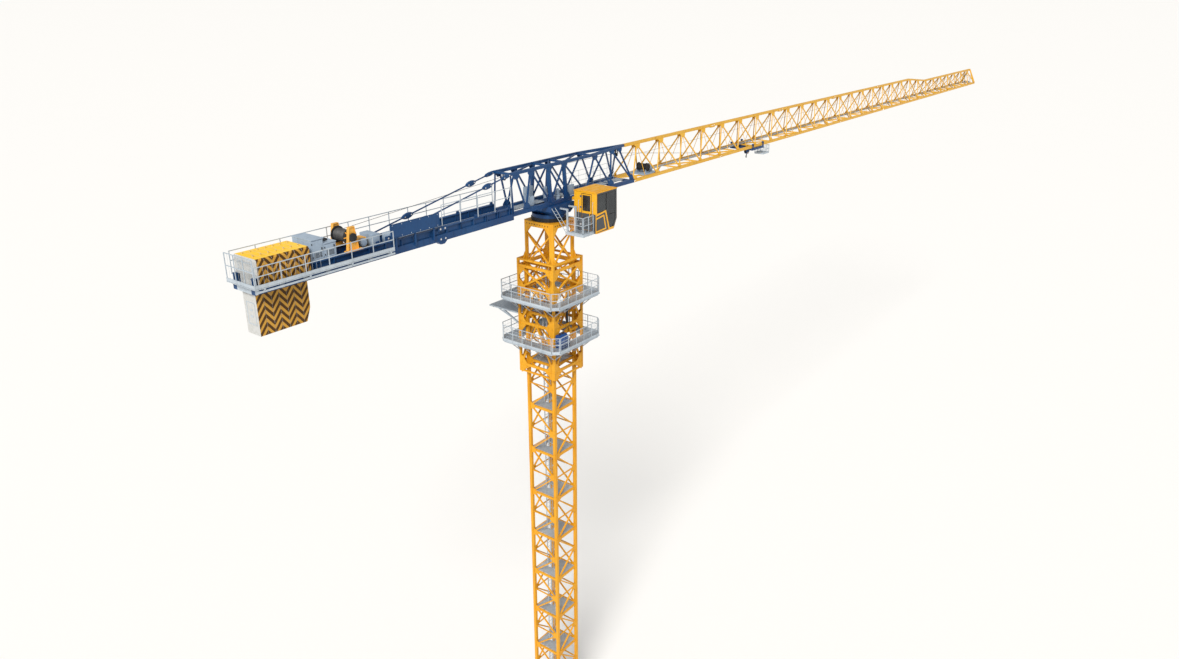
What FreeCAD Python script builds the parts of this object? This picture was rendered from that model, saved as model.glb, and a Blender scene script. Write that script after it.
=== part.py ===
import FreeCAD, Part
import math
import os

# Flat-top tower crane at one tenth of full size.
# Millimetres, +Z up, +X along the jib, origin on the mast's axis at the underside of its base frame.
# Heights marked "over jib" are counted from the underside of the jib's bottom chords.

Vec = FreeCAD.Vector
UP = Vec(0, 0, 1)

# Base frame and mast
base_height = 30.0
base_reach = 32.0
base_beam = 40.0
base_hole_r = 3.0
base_hole_inset = 17.0
mast_width = 196.0
mast_leg = 17.0
mast_bar = 7.0
mast_strut = 4.0
bracing_depth = 8.0
section_height = 280.0
section_count = 11

# Ladder, landings and power cable inside the mast
ladder_width = 36.0
ladder_stile = 3.0
ladder_depth = 6.0
ladder_y = 40.0
rung_pitch = 28.0
rung_r = 1.1
landing_thick = 3.0
cable_r = 2.6
cable_gap = 1.0

# Climbing cage around the mast's top
cage_gap = 15.0
cage_post = 12.0
cage_bar = 9.0
cage_beam = 15.0
cage_height = 650.0
cage_over_mast = 25.0
cage_levels = (45.0, 290.0, 485.0, 610.0)
platform_reach = 80.0
platform_corner = 34.0
platform_thick = 4.0
platform_levels = (194.0, 439.0)
rail_height = 88.0
rail_bar = 3.0
toe_board = 12.0
carrier_length = 222.0
carrier_inset = 9.0
carrier_level = 337.0
carrier_beam = 8.0
shoulder_rise = 32.0
shoulder_thick = 6.0

# Climbing cylinder, its yoke and its pump
barrel_r = 6.5
barrel_length = 205.0
barrel_wall = 2.5
rod_gap = 0.05
cylinder_x = 10.0
yoke_height = 12.0
yoke_depth = 12.0
cylinder_foot = 8.0
pump_size = (72.0, 44.0, 76.0)
pump_x = -122.0

# Slewing support, ring and turntable
support_height = 230.0
support_leg = 20.0
support_plate = 28.0
support_corner = 12.0
support_hole_r = 62.0
ring_height = 20.0
ring_r = 92.0
ring_hole_r = 70.0
turntable_height = 70.0
collar_height = 18.0
turntable_length = 190.0
turntable_width = 188.0
turntable_edge = 28.0
turntable_taper = 34.0

# Head frame between the jib and the counter-jib
head_rear = -350.0
jib_root = 668.0
head_top = 209.0
head_chord = 14.0
head_half = 50.0
head_bend_x = 300.0
head_post_x = 62.0
head_post = 15.0
head_bar = 7.0
frame_chord_height = 20.0
frame_chord_width = 18.0

# Jib
jib_half = 80.0
jib_chord_width = 18.0
jib_chord_height = 16.0
jib_top_width = 18.0
jib_top_height = 16.0
jib_depth = 193.0
jib_tip_depth = 145.0
jib_section = 1000.0
jib_sections = 7
bays_per_section = 4
taper_start_bay = 19
taper_end_bay = 21
lacing_bar = 6.5
lacing_depth = 6.0
jib_crown_gap = 6.0
lattice_gap = 1.0
floor_bar = 7.0

# Counter-jib
counter_length = 1766.0
rear_deck_depth = 24.0
girder_half = 70.0
girder_low = -17.0
girder_mid = 13.0
girder_top = 45.0
girder_box_width = 24.0
girder_web = 6.0
girder_flange = 3.0
girder_joint_x = -825.0
joint_lug = 14.0
rib_pitch = 90.0
deck_level = 16.0
deck_thick = 4.0
walkway_half = 112.0
near_walkway_start = -1135.0
counter_rail_height = 80.0
far_rail_height = 110.0

# Ballast
slab_count = 7
slab_gap = 1.2
ballast_rear = -1750.0
ballast_length = 228.0
slab_half = 66.0
slab_lip = 8.0
slab_lip_gap = 0.6
stem_half = 41.0
slab_top = 117.0
slab_bottom = -190.0
slab_chamfer = (20.0, 55.0)

# Tie bars
tie_half = 54.0
tie_drop_x = -1120.0
tie_bar = 5.0
tie_plate = 10.0
tie_joints = (0.04, 0.21, 0.73)
tie_lug_height = 12.0

# Machinery on the counter-jib
winch_x = -1300.0
winch_axis = 100.0
stand_rise = 42.0
brake_r = 18.0
brake_width = 6.0
drum_r = 26.0
drum_flange_r = 34.0
drum_half = 40.0
drum_shaft_r = 6.0
shaft_gap = 0.05
stand_half = 46.0
stand_thick = 8.0
cabinet_x = (-1500.0, -1385.0)
cabinet_half = 58.0
cabinet_top = 130.0
sign_x = (-1125.0, -850.0)
sign_z = (58.0, 118.0)
sign_thick = 4.0

# Cab and its platform
cab_x = (60.0, 242.0)
cab_y = (-262.0, -120.0)
cab_low = -145.0
cab_roof = 68.0
cab_wall = 3.0
cab_frame = 12.0
cab_door_inset = 30.0
cab_door_width = 62.0
cab_door_height = 188.0
door_gap = 1.0
pane_thick = 1.6
cab_nose = 26.0
cab_rake = 4.0
cab_sill = 107.0
cab_pillar = 8.0
cab_corner = 14.0
cab_panel = 86.0
cab_panel_lean = 30.0
cab_lip = 3.0
cab_arms = (40.0, 122.0)
cab_arm_width = 20.0
cab_platform_x = -34.0
cab_platform_inner = -136.0
cab_platform_outer = -250.0
cab_rail_height = 95.0

# Trolley and hook
trolley_x = 2190.0
trolley_length = 170.0
trolley_gap = 6.0
trolley_beam = 10.0
trolley_side_gap = 4.0
trolley_plate = 4.0
roller_r = 6.0
roller_gap = 0.4
roller_seat = 4.0
basket_length = 90.0
basket_height = 62.0
basket_drop = 4.0
basket_width = 70.0
block_drop = 14.0
block_length = 46.0
block_height = 26.0
block_thick = 20.0
rope_r = 1.2
rope_spread_x = 15.0
hook_r = 11.0
hook_thick = 6.0
swivel_r = 4.0
shank_length = 10.0
swivel_gap = 0.3

# Worked-out widths and levels
base_width = mast_width + base_reach * 2
base_hole_pitch = base_width - base_hole_inset * 2
cage_width = mast_width + (cage_gap + cage_post) * 2
platform_width = cage_width + platform_reach * 2
carrier_width = cage_width - carrier_inset * 2
mast_top = base_height + section_height * section_count
support_top = mast_top + support_height
jib_level = support_top + ring_height + turntable_height
cage_top = mast_top + cage_over_mast
cage_low = cage_top - cage_height
mast_inner = mast_width / 2 - mast_leg
mast_plane = (mast_width - mast_leg) / 2
cage_plane = (cage_width - cage_post) / 2
cage_inner = cage_width / 2 - cage_post
jib_tip = jib_root + jib_section * jib_sections
bay = jib_section / bays_per_section
chord_inner = jib_half - jib_chord_width
chord_line = jib_half - jib_chord_width / 2


def box(x0, x1, y0, y1, z0, z1):
    return Part.makeBox(x1 - x0, y1 - y0, z1 - z0, Vec(x0, y0, z0))


def jib_box(x0, x1, y0, y1, z0, z1):
    """A box whose heights are over the jib's level."""
    return box(x0, x1, y0, y1, jib_level + z0, jib_level + z1)


def cylinder(start, direction, radius, length):
    return Part.makeCylinder(radius, length, Vec(*start), Vec(*direction))


def bar(start, end, width, depth, normal):
    """A rectangular bar; depth is measured along the normal of its lattice's plane."""
    start, end = Vec(*start), Vec(*end)
    along = end - start
    across = along.cross(Vec(*normal)).normalize()
    out = across.cross(along).normalize()
    corners = [start + across * (a * width / 2) + out * (b * depth / 2)
               for a, b in ((-1, -1), (1, -1), (1, 1), (-1, 1))]
    return Part.Face(Part.makePolygon(corners + corners[:1])).extrude(along)


def prism(points, direction):
    """A flat outline of (x, y, z) points pushed along a direction."""
    corners = [Vec(*point) for point in points]
    return Part.Face(Part.makePolygon(corners + corners[:1])).extrude(Vec(*direction))


def fused(shapes):
    joined = shapes[0].multiFuse(shapes[1:]) if len(shapes) > 1 else shapes[0]
    return joined.removeSplitter()


def mirrored(shape):
    """The same piece on the other side of the crane's centre plane."""
    return shape.mirror(Vec(0, 0, 0), Vec(0, 1, 0))


def turned(shape, angle):
    copy = shape.copy()
    copy.rotate(Vec(0, 0, 0), UP, angle)
    return copy


def four_sides(shape):
    return Part.makeCompound([turned(shape, 90 * side) for side in range(4)])


def both_sides(shape):
    return Part.makeCompound([shape, mirrored(shape)])


def steps(start, end, pitch):
    """Evenly spaced places from start to end, both included, about a pitch apart."""
    count = max(1, round(abs(end - start) / pitch))
    return [start + (end - start) * i / count for i in range(count + 1)]


# Mast

def base_frame():
    half = base_width / 2
    ring = box(-half, half, -half, half, 0, base_height)
    inside = half - base_beam
    ring = ring.cut(box(-inside, inside, -inside, inside, -1, base_height + 1))
    place = base_hole_pitch / 2
    for x in (-place, place):
        for y in (-place, place):
            ring = ring.cut(cylinder((x, y, -1), (0, 0, 1), base_hole_r, base_height + 2))
    return ring


def mast_legs():
    edge = mast_width / 2
    return four_sides(box(edge - mast_leg, edge, edge - mast_leg, edge, base_height, mast_top))


def mast_bracing():
    """One flat side: struts at each joint and half-way, and a zigzag between the legs."""
    face = (0, 1, 0)
    reach = mast_width / 2

    def across(z, width):
        return bar((-reach, -mast_plane, z), (reach, -mast_plane, z), width, bracing_depth, face)

    bars = []
    for section in range(section_count):
        low = base_height + section * section_height
        middle, high = low + section_height / 2, low + section_height
        bars.append(across(low + mast_bar / 2, mast_bar))
        bars.append(across(high - mast_bar / 2, mast_bar))
        bars.append(across(middle, mast_strut))
        for end in (low, high):
            bars.append(bar((-mast_inner, -mast_plane, end), (mast_inner, -mast_plane, middle),
                            mast_bar, bracing_depth, face))
    region = box(-mast_inner, mast_inner, -mast_width, 0, base_height, mast_top)
    return four_sides(fused(bars).common(region))


def ladder():
    """Two stiles with rungs, from the base frame to the mast's top."""
    half = ladder_width / 2
    stiles = [box(x, x + ladder_stile, ladder_y, ladder_y + ladder_depth, base_height, mast_top)
              for x in (-half, half - ladder_stile)]
    rungs = [cylinder((-half + ladder_stile / 2, ladder_y + ladder_depth / 2, z), (1, 0, 0),
                      rung_r, ladder_width - ladder_stile)
             for z in steps(base_height + rung_pitch, mast_top - rung_pitch, rung_pitch)]
    return fused(stiles + rungs)


def landings():
    """A grating at each section joint, resting on the side struts, open round the ladder."""
    reach = mast_plane - bracing_depth / 2
    plates = []
    for section in range(1, section_count):
        top = base_height + section * section_height + mast_bar
        plate = box(-mast_inner, mast_inner, -reach, reach, top - landing_thick, top)
        shift = ladder_width / 2 + ladder_stile
        hole = box(-shift, shift, ladder_y - ladder_width, ladder_y + ladder_depth + 1,
                   top - landing_thick - 1, top + 1)
        plates.append(plate.cut(hole).cut(cable_way(top - landing_thick - 1, landing_thick + 2)))
    return Part.makeCompound(plates)


def cable_place():
    return -mast_inner + cable_r + 2, -mast_inner + cable_r + 12


def cable_way(low, height):
    """The hole that lets the cable through a landing."""
    x, y = cable_place()
    return cylinder((x, y, low), (0, 0, 1), cable_r + cable_gap, height)


def power_cable():
    x, y = cable_place()
    return cylinder((x, y, base_height + section_height / 2), (0, 0, 1), cable_r,
                    mast_top - base_height - section_height)


# Climbing cage

def cage_posts():
    edge = cage_width / 2
    post = box(edge - cage_post, edge, edge - cage_post, edge, cage_low, cage_top)
    return four_sides(post)


def cage_bracing():
    """One flat side of the cage: four box struts with bars between them."""
    face = (0, 1, 0)
    y = -cage_plane
    reach = cage_inner
    levels = [cage_low + level for level in cage_levels]
    struts = [bar((-reach, y, z), (reach, y, z), cage_beam, bracing_depth, face) for z in levels]
    struts.append(bar((-reach, y, cage_low + cage_bar / 2), (reach, y, cage_low + cage_bar / 2),
                      cage_bar, bracing_depth, face))
    bars = []
    for low, high in ((levels[0], levels[1]), (levels[1], levels[2])):
        for side in (-1, 1):
            bars.append(bar((side * reach, y, low), (0, y, high), cage_bar,
                            bracing_depth, face))
    for side in (-1, 1):
        bars.append(bar((side * reach, y, levels[2]), (-side * reach, y, levels[3]), cage_bar,
                        bracing_depth, face))
        bars.append(bar((side * reach, y, cage_low), (side * reach * 0.45, y, levels[0]), cage_bar,
                        bracing_depth, face))
    region = box(-reach, reach, -cage_width, 0, cage_low, cage_top)
    return four_sides(fused(struts + bars).common(region))


def octagon(half, corner, low, high):
    near = half - corner
    points = [(near, half), (half, near), (half, -near), (near, -half),
              (-near, -half), (-half, -near), (-half, near), (-near, half)]
    return prism([(x, y, low) for x, y in points], (0, 0, high - low))


def platform_floor(level):
    """Four floor strips round the cage, parted at the corners, at one level."""
    half = platform_width / 2
    top = cage_low + level
    low = top - platform_thick
    floor = octagon(half, platform_corner, low, top)
    hole = cage_width / 2
    floor = floor.cut(box(-hole, hole, -hole, hole, low - 1, top + 1))
    for angle in (45, 135):
        slot = box(-half * 2, half * 2, -0.5, 0.5, low - 1, top + 1)
        floor = floor.cut(turned(slot, angle))
    return floor.Solids


def cage_platforms():
    return Part.makeCompound([strip for level in platform_levels for strip in platform_floor(level)])


def rail_panel(start, end, z, height, post_pitch=70.0, board=True):
    """A flat railing: posts, a top rail, a middle rail and a toe board."""
    (x0, y0), (x1, y1) = start, end
    length = math.hypot(x1 - x0, y1 - y0)
    normal = ((y1 - y0) / length, -(x1 - x0) / length, 0)

    def level(height_over_floor, width):
        centre = z + height_over_floor
        return bar((x0, y0, centre), (x1, y1, centre), width, rail_bar, normal)

    pieces = [level(height - rail_bar / 2, rail_bar), level(height * 0.55, rail_bar)]
    if board:
        pieces.append(level(toe_board / 2, toe_board))
    inset = rail_bar / 2 / length
    for place in steps(inset, 1 - inset, post_pitch / length):
        x, y = x0 + (x1 - x0) * place, y0 + (y1 - y0) * place
        pieces.append(bar((x, y, z), (x, y, z + height), rail_bar, rail_bar, normal))
    return fused(pieces)


def platform_railing(level):
    half = platform_width / 2 - rail_bar
    near = half - platform_corner
    gap = rail_bar
    z = cage_low + level
    side = rail_panel((-near, -half), (near, -half), z, rail_height)
    shift = gap / math.sqrt(2)
    corner = rail_panel((near + gap, -half + shift), (half - shift, -near - gap), z, rail_height)
    return four_sides(side).Solids + four_sides(corner).Solids


def cage_railings():
    return Part.makeCompound([panel for level in platform_levels for panel in platform_railing(level)])


def section_carrier():
    """The platform that brings a new mast section into the cage's open side."""
    z = cage_low + carrier_level
    y0 = cage_width / 2
    y1 = y0 + carrier_length
    half = carrier_width / 2
    low = z - carrier_beam
    pieces = [box(x, x + carrier_beam, y0, y1, low, z) for x in (-half, half - carrier_beam)]
    pieces += [box(-half, half, y, y + carrier_beam, low, z) for y in (y1 - carrier_beam, y0 + 90)]
    pieces.append(box(-half, half, y0 + 2, y1, z - platform_thick, z))
    pieces += [bar((x, y0, low - 60), (x, y0 + 120, low), carrier_beam, carrier_beam, (1, 0, 0))
               for x in (-half + carrier_beam / 2, half - carrier_beam / 2)]
    region = box(-half, half, y0, y1, low - 70, z)
    return fused(pieces).common(region)


def yoke_top():
    return cage_low + cage_levels[1] - 40


def climbing_rod():
    """The piston rod and the yoke that stands on the mast's legs."""
    edge = mast_width / 2
    top = yoke_top()
    yoke = box(-edge, edge, -edge - yoke_depth, -edge, top - yoke_height, top)
    y = -edge - cylinder_foot
    rod_r = barrel_r - barrel_wall - rod_gap
    rod = cylinder((cylinder_x, y, top - yoke_height / 2), (0, 0, 1), rod_r,
                   barrel_length - barrel_wall)
    return fused([yoke, rod])


def climbing_barrel():
    y = -mast_width / 2 - cylinder_foot
    low = yoke_top() + 4
    barrel = cylinder((cylinder_x, y, low), (0, 0, 1), barrel_r, barrel_length)
    bore = cylinder((cylinder_x, y, low - 1), (0, 0, 1), barrel_r - barrel_wall,
                    barrel_length + 1 - barrel_wall)
    head = box(cylinder_x - barrel_r, cylinder_x + barrel_r, -cage_plane + bracing_depth / 2, y,
               low + barrel_length - 16, low + barrel_length)
    return fused([barrel, head]).cut(bore)


def pump_unit():
    """The hydraulic pump on the lower platform, with a sloping front."""
    width, depth, height = pump_size
    z = cage_low + platform_levels[0]
    y1 = -cage_width / 2 - 4
    y0 = y1 - depth
    outline = [(pump_x, y0, z), (pump_x, y1, z), (pump_x, y1, z + height),
               (pump_x, y0 + depth / 2, z + height), (pump_x, y0, z + height * 0.6)]
    return prism(outline, (width, 0, 0))


def slewing_support():
    """The yellow head: four legs under a thick ring plate, with a belt at their feet."""
    edge = mast_width / 2
    leg = box(edge - support_leg, edge, edge - support_leg, edge, mast_top, support_top)
    pieces = [turned(leg, 90 * side) for side in range(4)]
    pieces.append(box(-edge, edge, -edge, edge, support_top - support_plate, support_top))
    haunch = prism([(edge - support_leg, -edge, support_top - support_plate),
                    (edge - support_leg, -edge, support_top - support_plate - 40),
                    (edge - support_leg - 30, -edge, support_top - support_plate)],
                   (0, support_leg * 0.6, 0))
    for side in range(4):
        pieces.append(turned(haunch, 90 * side))
        pieces.append(turned(haunch.mirror(Vec(0, 0, 0), Vec(1, 0, 0)), 90 * side))
    solid = fused(pieces).common(octagon(edge, support_corner, mast_top, support_top))
    return solid.cut(cylinder((0, 0, mast_top), (0, 0, 1), support_hole_r, support_height + 1))


def support_bracing():
    """One flat side of the slewing support: a crossed pair over a foot strut."""
    face = (0, 1, 0)
    y = -mast_width / 2 + support_leg / 2
    reach = mast_width / 2 - support_leg
    low, high = mast_top, support_top - support_plate - 40
    bars = [bar((-reach, y, low + 6), (reach, y, low + 6), 10, bracing_depth, face)]
    for side in (-1, 1):
        bars.append(bar((side * reach, y, low), (-side * reach, y, high), mast_bar,
                        bracing_depth, face))
    region = box(-reach, reach, -mast_width, 0, low, support_top - support_plate)
    return four_sides(fused(bars).common(region))


def shoulder_gussets():
    """Plates that carry the cage's posts on the feet of the slewing support."""
    edge, cage = mast_width / 2, cage_width / 2
    outline = [(edge, mast_top + 1), (cage - cage_post, mast_top + 1), (cage - cage_post, cage_top),
               (edge, cage_top + shoulder_rise)]
    plates = []
    for y in (edge - 16, -edge + 10):
        plates.append(prism([(x, y, z) for x, z in outline], (0, shoulder_thick, 0)))
    rim = box(cage - cage_post, cage, -cage_inner, cage_inner, cage_top - cage_bar, cage_top)
    return four_sides(fused(plates + [rim]))


def slewing_ring():
    ring = cylinder((0, 0, support_top), (0, 0, 1), ring_r, ring_height)
    return ring.cut(cylinder((0, 0, support_top - 1), (0, 0, 1), ring_hole_r, ring_height + 2))


# Superstructure

def turntable():
    low = support_top + ring_height
    collar = cylinder((0, 0, low), (0, 0, 1), ring_r - 2, collar_height)
    half, side = turntable_length / 2, turntable_width / 2
    waist = half - turntable_taper
    outline = [(half, jib_level), (half, jib_level - turntable_edge), (waist, low + collar_height),
               (-waist, low + collar_height), (-half, jib_level - turntable_edge), (-half, jib_level)]
    deck = prism([(x, -side, z) for x, z in outline], (0, turntable_width, 0))
    table = fused([collar, deck])
    return table.cut(cylinder((0, 0, low - 1), (0, 0, 1), support_hole_r, turntable_height + 2))


def frame_line(x):
    """Half-distance of the head frame's bottom chords at a place along the crane."""
    share = (x - head_rear) / (jib_root - head_rear)
    return girder_half - 8 + (chord_line - girder_half + 8) * share


def top_line(x):
    """Half-distance of the head frame's top chords, parallel at first and meeting at the jib."""
    share = max(0.0, (x - head_bend_x) / (jib_root - head_bend_x))
    return head_half * (1 - share)


def frame_chords():
    """The two bottom chords of the head frame."""
    middle = jib_level + frame_chord_height / 2
    chord = bar((head_rear, frame_line(head_rear), middle), (jib_root, frame_line(jib_root), middle),
                frame_chord_width, frame_chord_height, (0, 0, 1))
    return both_sides(chord.common(jib_box(head_rear, jib_root, 0, 200, -1, 60)))


def frame_floor():
    """Cross members and floor plate between the bottom chords."""
    pieces = []
    z0, z1 = jib_level + 4, jib_level + frame_chord_height - 4
    for x in (-340, -150, -54, 54, 210, 360, 500, 650):
        reach = frame_line(x)
        pieces.append(box(x - 6, x + 6, -reach, reach, z0, z1))
    pieces.append(box(-346, 656, -22, 22, z1 - 4, z1))
    return fused(pieces).cut(frame_chords())


def head_chords():
    """The two top chords, tied by cross bars and closing to one nose at the jib."""
    middle = jib_level + head_top - head_chord / 2
    pieces = []
    for side in (-1, 1):
        for start, end in ((head_rear, head_bend_x + head_chord / 4), (head_bend_x, jib_root)):
            pieces.append(bar((start, side * top_line(start), middle), (end, side * top_line(end), middle),
                              head_chord, head_chord, (0, 0, 1)))
    for x in (head_rear + 8, -head_post_x, head_post_x, head_bend_x):
        pieces.append(box(x - 5, x + 5, -top_line(x), top_line(x), middle - 5, middle + 5))
    for start, end in ((head_rear + 8, -head_post_x), (-head_post_x, head_post_x),
                       (head_post_x, head_bend_x)):
        pieces.append(bar((start, -top_line(start), middle), (end, top_line(end), middle),
                          head_bar, head_bar, (0, 0, 1)))
    region = jib_box(head_rear, jib_root, -100, 100, head_top - head_chord, head_top)
    return fused(pieces).common(region)


def head_side():
    """Posts and diagonals of the head frame's near side."""
    low = jib_level + frame_chord_height
    high = jib_level + head_top - head_chord
    face = (0, 1, 0)

    def foot(x):
        return (x, -frame_line(x), low - 2)

    def crown(x):
        return (x, -top_line(x), high + 2)

    pieces = [bar(foot(x), crown(x), head_post, head_post, face) for x in (-head_post_x, head_post_x)]
    pieces.append(bar(foot(head_rear + 6), crown(head_rear + 6), 6, 6, face))
    for low_x, high_x in ((-head_post_x, -200), (-250, -200), (-250, -310), (head_post_x, -head_post_x),
                          (-head_post_x, head_post_x), (230, head_post_x), (230, 330), (450, 330),
                          (450, 520), (jib_root - 14, 520), (jib_root - 14, jib_root - 60)):
        pieces.append(bar(foot(low_x), crown(high_x), head_bar, head_bar, face))
    region = jib_box(head_rear, jib_root, -120, 0, frame_chord_height, head_top - head_chord)
    return fused(pieces).common(region)


def top_depth(x):
    """Underside of the jib's top chord at a place along it."""
    start = jib_root + bay * (taper_start_bay + 0.5)
    end = jib_root + bay * (taper_end_bay + 0.5)
    share = min(1.0, max(0.0, (x - start) / (end - start)))
    return jib_depth + (jib_tip_depth - jib_depth) * share


def depth_places():
    return [jib_root, jib_root + bay * (taper_start_bay + 0.5), jib_root + bay * (taper_end_bay + 0.5),
            jib_tip]


def jib_top_chord():
    places = depth_places()
    under = [(x, -jib_top_width / 2, jib_level + top_depth(x)) for x in places]
    over = [(x, y, z + jib_top_height) for x, y, z in reversed(under)]
    return prism(under + over, (0, jib_top_width, 0))


def jib_bottom_chords():
    return both_sides(jib_box(jib_root, jib_tip, chord_inner, jib_half, 0, jib_chord_height))


def jib_side():
    """One sloping side of the jib: a zigzag with two bars a bay, parted where the depth changes."""
    low = jib_chord_height
    y_low, y_high = -chord_line, -jib_crown_gap
    bars = []
    for number in range(jib_sections * bays_per_section):
        start = jib_root + number * bay
        peak = start + bay / 2
        height = top_depth(peak)
        face = (0, height - low, y_high - y_low)
        top = (peak, y_high, jib_level + height)
        for foot_x in (start, start + bay):
            bars.append(bar((foot_x, y_low, jib_level + low), top, lacing_bar, lacing_depth, face))
    split = jib_root + bay * (taper_start_bay + 0.5)
    lattice = fused(bars)
    parts = []
    for x0, x1 in ((jib_root, split - lattice_gap / 2), (split + lattice_gap / 2, jib_tip)):
        places = [x0] + [x for x in depth_places() if x0 < x < x1] + [x1]
        under = [(x, -jib_half, jib_level + top_depth(x)) for x in places]
        floor = [(x, -jib_half, jib_level + low) for x in reversed(places)]
        parts.append(lattice.common(prism(under + floor, (0, jib_half - 0.5, 0))))
    return Part.makeCompound(parts)


def jib_floor():
    """Cross bars and diagonals between the jib's bottom chords."""
    middle = jib_level + jib_chord_height / 2
    pieces = []
    for number in range(jib_sections * bays_per_section + 1):
        x = min(max(jib_root + number * bay, jib_root + floor_bar / 2), jib_tip - floor_bar / 2)
        pieces.append(box(x - floor_bar / 2, x + floor_bar / 2, -chord_inner, chord_inner,
                          middle - 4, middle + 4))
    for number in range(jib_sections * bays_per_section):
        start = jib_root + number * bay
        side = 1 if number % 2 else -1
        pieces.append(bar((start, -side * chord_inner, middle), (start + bay, side * chord_inner, middle),
                          floor_bar, bracing_depth, (0, 0, 1)))
    region = jib_box(jib_root, jib_tip, -chord_inner, chord_inner, 0, jib_chord_height)
    return fused(pieces).common(region)


def jib_end_frame():
    """The frame that closes the jib's tip."""
    z1 = jib_tip_depth + jib_top_height
    outline = [(jib_tip, -jib_half, jib_level), (jib_tip, jib_half, jib_level),
               (jib_tip, jib_half, jib_level + jib_chord_height), (jib_tip, 10, jib_level + z1),
               (jib_tip, -10, jib_level + z1), (jib_tip, -jib_half, jib_level + jib_chord_height)]
    frame = prism(outline, (8, 0, 0))
    hole = [(jib_tip - 1, -jib_half + 22, jib_level + 12), (jib_tip - 1, jib_half - 22, jib_level + 12),
            (jib_tip - 1, 8, jib_level + z1 - 22), (jib_tip - 1, -8, jib_level + z1 - 22)]
    return frame.cut(prism(hole, (10, 0, 0)))


def girder():
    """One box-and-web girder of the counter-jib, with ribs and the pinned joint's lug."""
    outer, inner = girder_half, girder_half - girder_box_width
    web0, web1 = outer - 14, outer - 14 + girder_web
    rear, front = -counter_length, head_rear
    pieces = [jib_box(rear, front, inner, outer, girder_low, girder_mid),
              jib_box(rear, front, web0, web1, girder_mid, girder_top),
              jib_box(rear, front, web0 - 5, outer, girder_top - girder_flange, girder_top)]
    for x in steps(rear + 10, front - 10, rib_pitch):
        pieces.append(jib_box(x - 2, x + 2, web0 - 4, outer - 1, girder_mid, girder_top))
    x, z = girder_joint_x, jib_level + girder_low
    outline = [(x - 30, z + 1), (x + 30, z + 1), (x + 12, z - joint_lug), (x - 12, z - joint_lug)]
    pieces.append(prism([(a, inner, b) for a, b in outline], (0, girder_box_width, 0)))
    return fused(pieces)


def girders():
    return both_sides(girder())


def counter_deck():
    """Cross beams and plate between the girders, and the beam behind the ballast."""
    inner = girder_half - girder_box_width
    start = ballast_rear + ballast_length + 6
    pieces = [jib_box(start, head_rear, -inner, inner, deck_level - deck_thick - 3, deck_level - 3)]
    for x in steps(start + 6, head_rear - 6, 160):
        pieces.append(jib_box(x - 6, x + 6, -inner, inner, girder_low + 4, deck_level - 3))
    rear = jib_box(-counter_length, ballast_rear - 5, -inner, inner, girder_low, girder_mid)
    return Part.makeCompound([fused(pieces), rear])


def walkways():
    """The grating outside the near girder and across the rear end."""
    low, high = deck_level, deck_level + deck_thick
    rear = -counter_length
    pieces = [jib_box(rear - rear_deck_depth, rear, -walkway_half, girder_half, low, high),
              jib_box(rear, near_walkway_start, -walkway_half, -girder_half, low, high)]
    for x in steps(ballast_rear, near_walkway_start - 20, 180):
        pieces.append(jib_box(x - 3, x + 3, -walkway_half, -girder_half, low - 8, low))
    return fused(pieces)


def counter_railings():
    edge = walkway_half - rail_bar
    far_y = girder_half - rail_bar / 2
    z = jib_level + deck_level + deck_thick
    height = counter_rail_height
    back = -counter_length - rear_deck_depth + rail_bar
    near = rail_panel((back + rail_bar, -edge), (near_walkway_start, -edge), z, height, 110)
    far_height = z + far_rail_height - jib_level - girder_top
    far = rail_panel((-counter_length, far_y), (head_rear, far_y), jib_level + girder_top,
                     far_height, 110, board=False)
    rear = rail_panel((back, -edge), (back, far_y), z, far_rail_height, 60)
    front_y = -girder_half + 5
    front = rail_panel((-820, front_y), (head_rear - 10, front_y),
                       jib_level + girder_top, 100, 110, board=False)
    return Part.makeCompound([near, far, rear, front])


def ballast_slab(x0, x1):
    """A concrete slab: a head that hangs on the girders, a lip outside the near one and a stem between."""
    near = -girder_half - slab_lip
    lip_low = deck_level + deck_thick + slab_lip_gap
    points = [(-girder_half - slab_lip_gap, girder_top), (-girder_half - slab_lip_gap, lip_low),
              (near, lip_low), (near, slab_top - 6), (near + 6, slab_top),
              (slab_half - 6, slab_top), (slab_half, slab_top - 6), (slab_half, girder_top),
              (stem_half, girder_top), (stem_half, slab_bottom), (-stem_half, slab_bottom),
              (-stem_half, girder_top)]
    return prism([(x0, y, jib_level + z) for y, z in points], (x1 - x0, 0, 0))


def ballast():
    pitch = ballast_length / slab_count
    front = ballast_rear + ballast_length - slab_gap
    low = jib_level + slab_bottom
    outline = [(front + 1, low - 1), (front + 1, low + slab_chamfer[1]), (front, low + slab_chamfer[1]),
               (front - slab_chamfer[0], low), (front - slab_chamfer[0], low - 1)]
    corner = prism([(x, -slab_half, z) for x, z in outline], (0, slab_half * 2, 0))
    slabs = []
    for number in range(slab_count):
        start = ballast_rear + number * pitch
        slabs.append(ballast_slab(start, start + pitch - slab_gap).cut(corner))
    return Part.makeCompound(slabs)


def tie():
    """One tie from the head frame's rear crown down to its lug on the girder."""
    y = -tie_half
    top = (head_rear + 2, y, jib_level + head_top - 6)
    foot = (tie_drop_x, y, jib_level + girder_top + tie_lug_height)
    length = Vec(*foot).distanceToPoint(Vec(*top))
    slope = [(f - t) / length for f, t in zip(foot, top)]

    def along(distance):
        return tuple(t + s * distance for t, s in zip(top, slope))

    face = (0, 1, 0)
    pieces = [bar(along(6), foot, tie_bar, tie_bar, face)]
    for share in tie_joints:
        middle = length * share
        pieces.append(bar(along(middle - 26), along(middle + 26), 14, tie_plate, face))
    pieces.append(jib_box(tie_drop_x - 12, tie_drop_x + 12, y - 4, y + 4, girder_top,
                          girder_top + tie_lug_height + 8))
    cut = jib_box(head_rear, 0, -200, 200, 0, 300)
    return fused(pieces).cut(cut)


# Machinery

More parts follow.
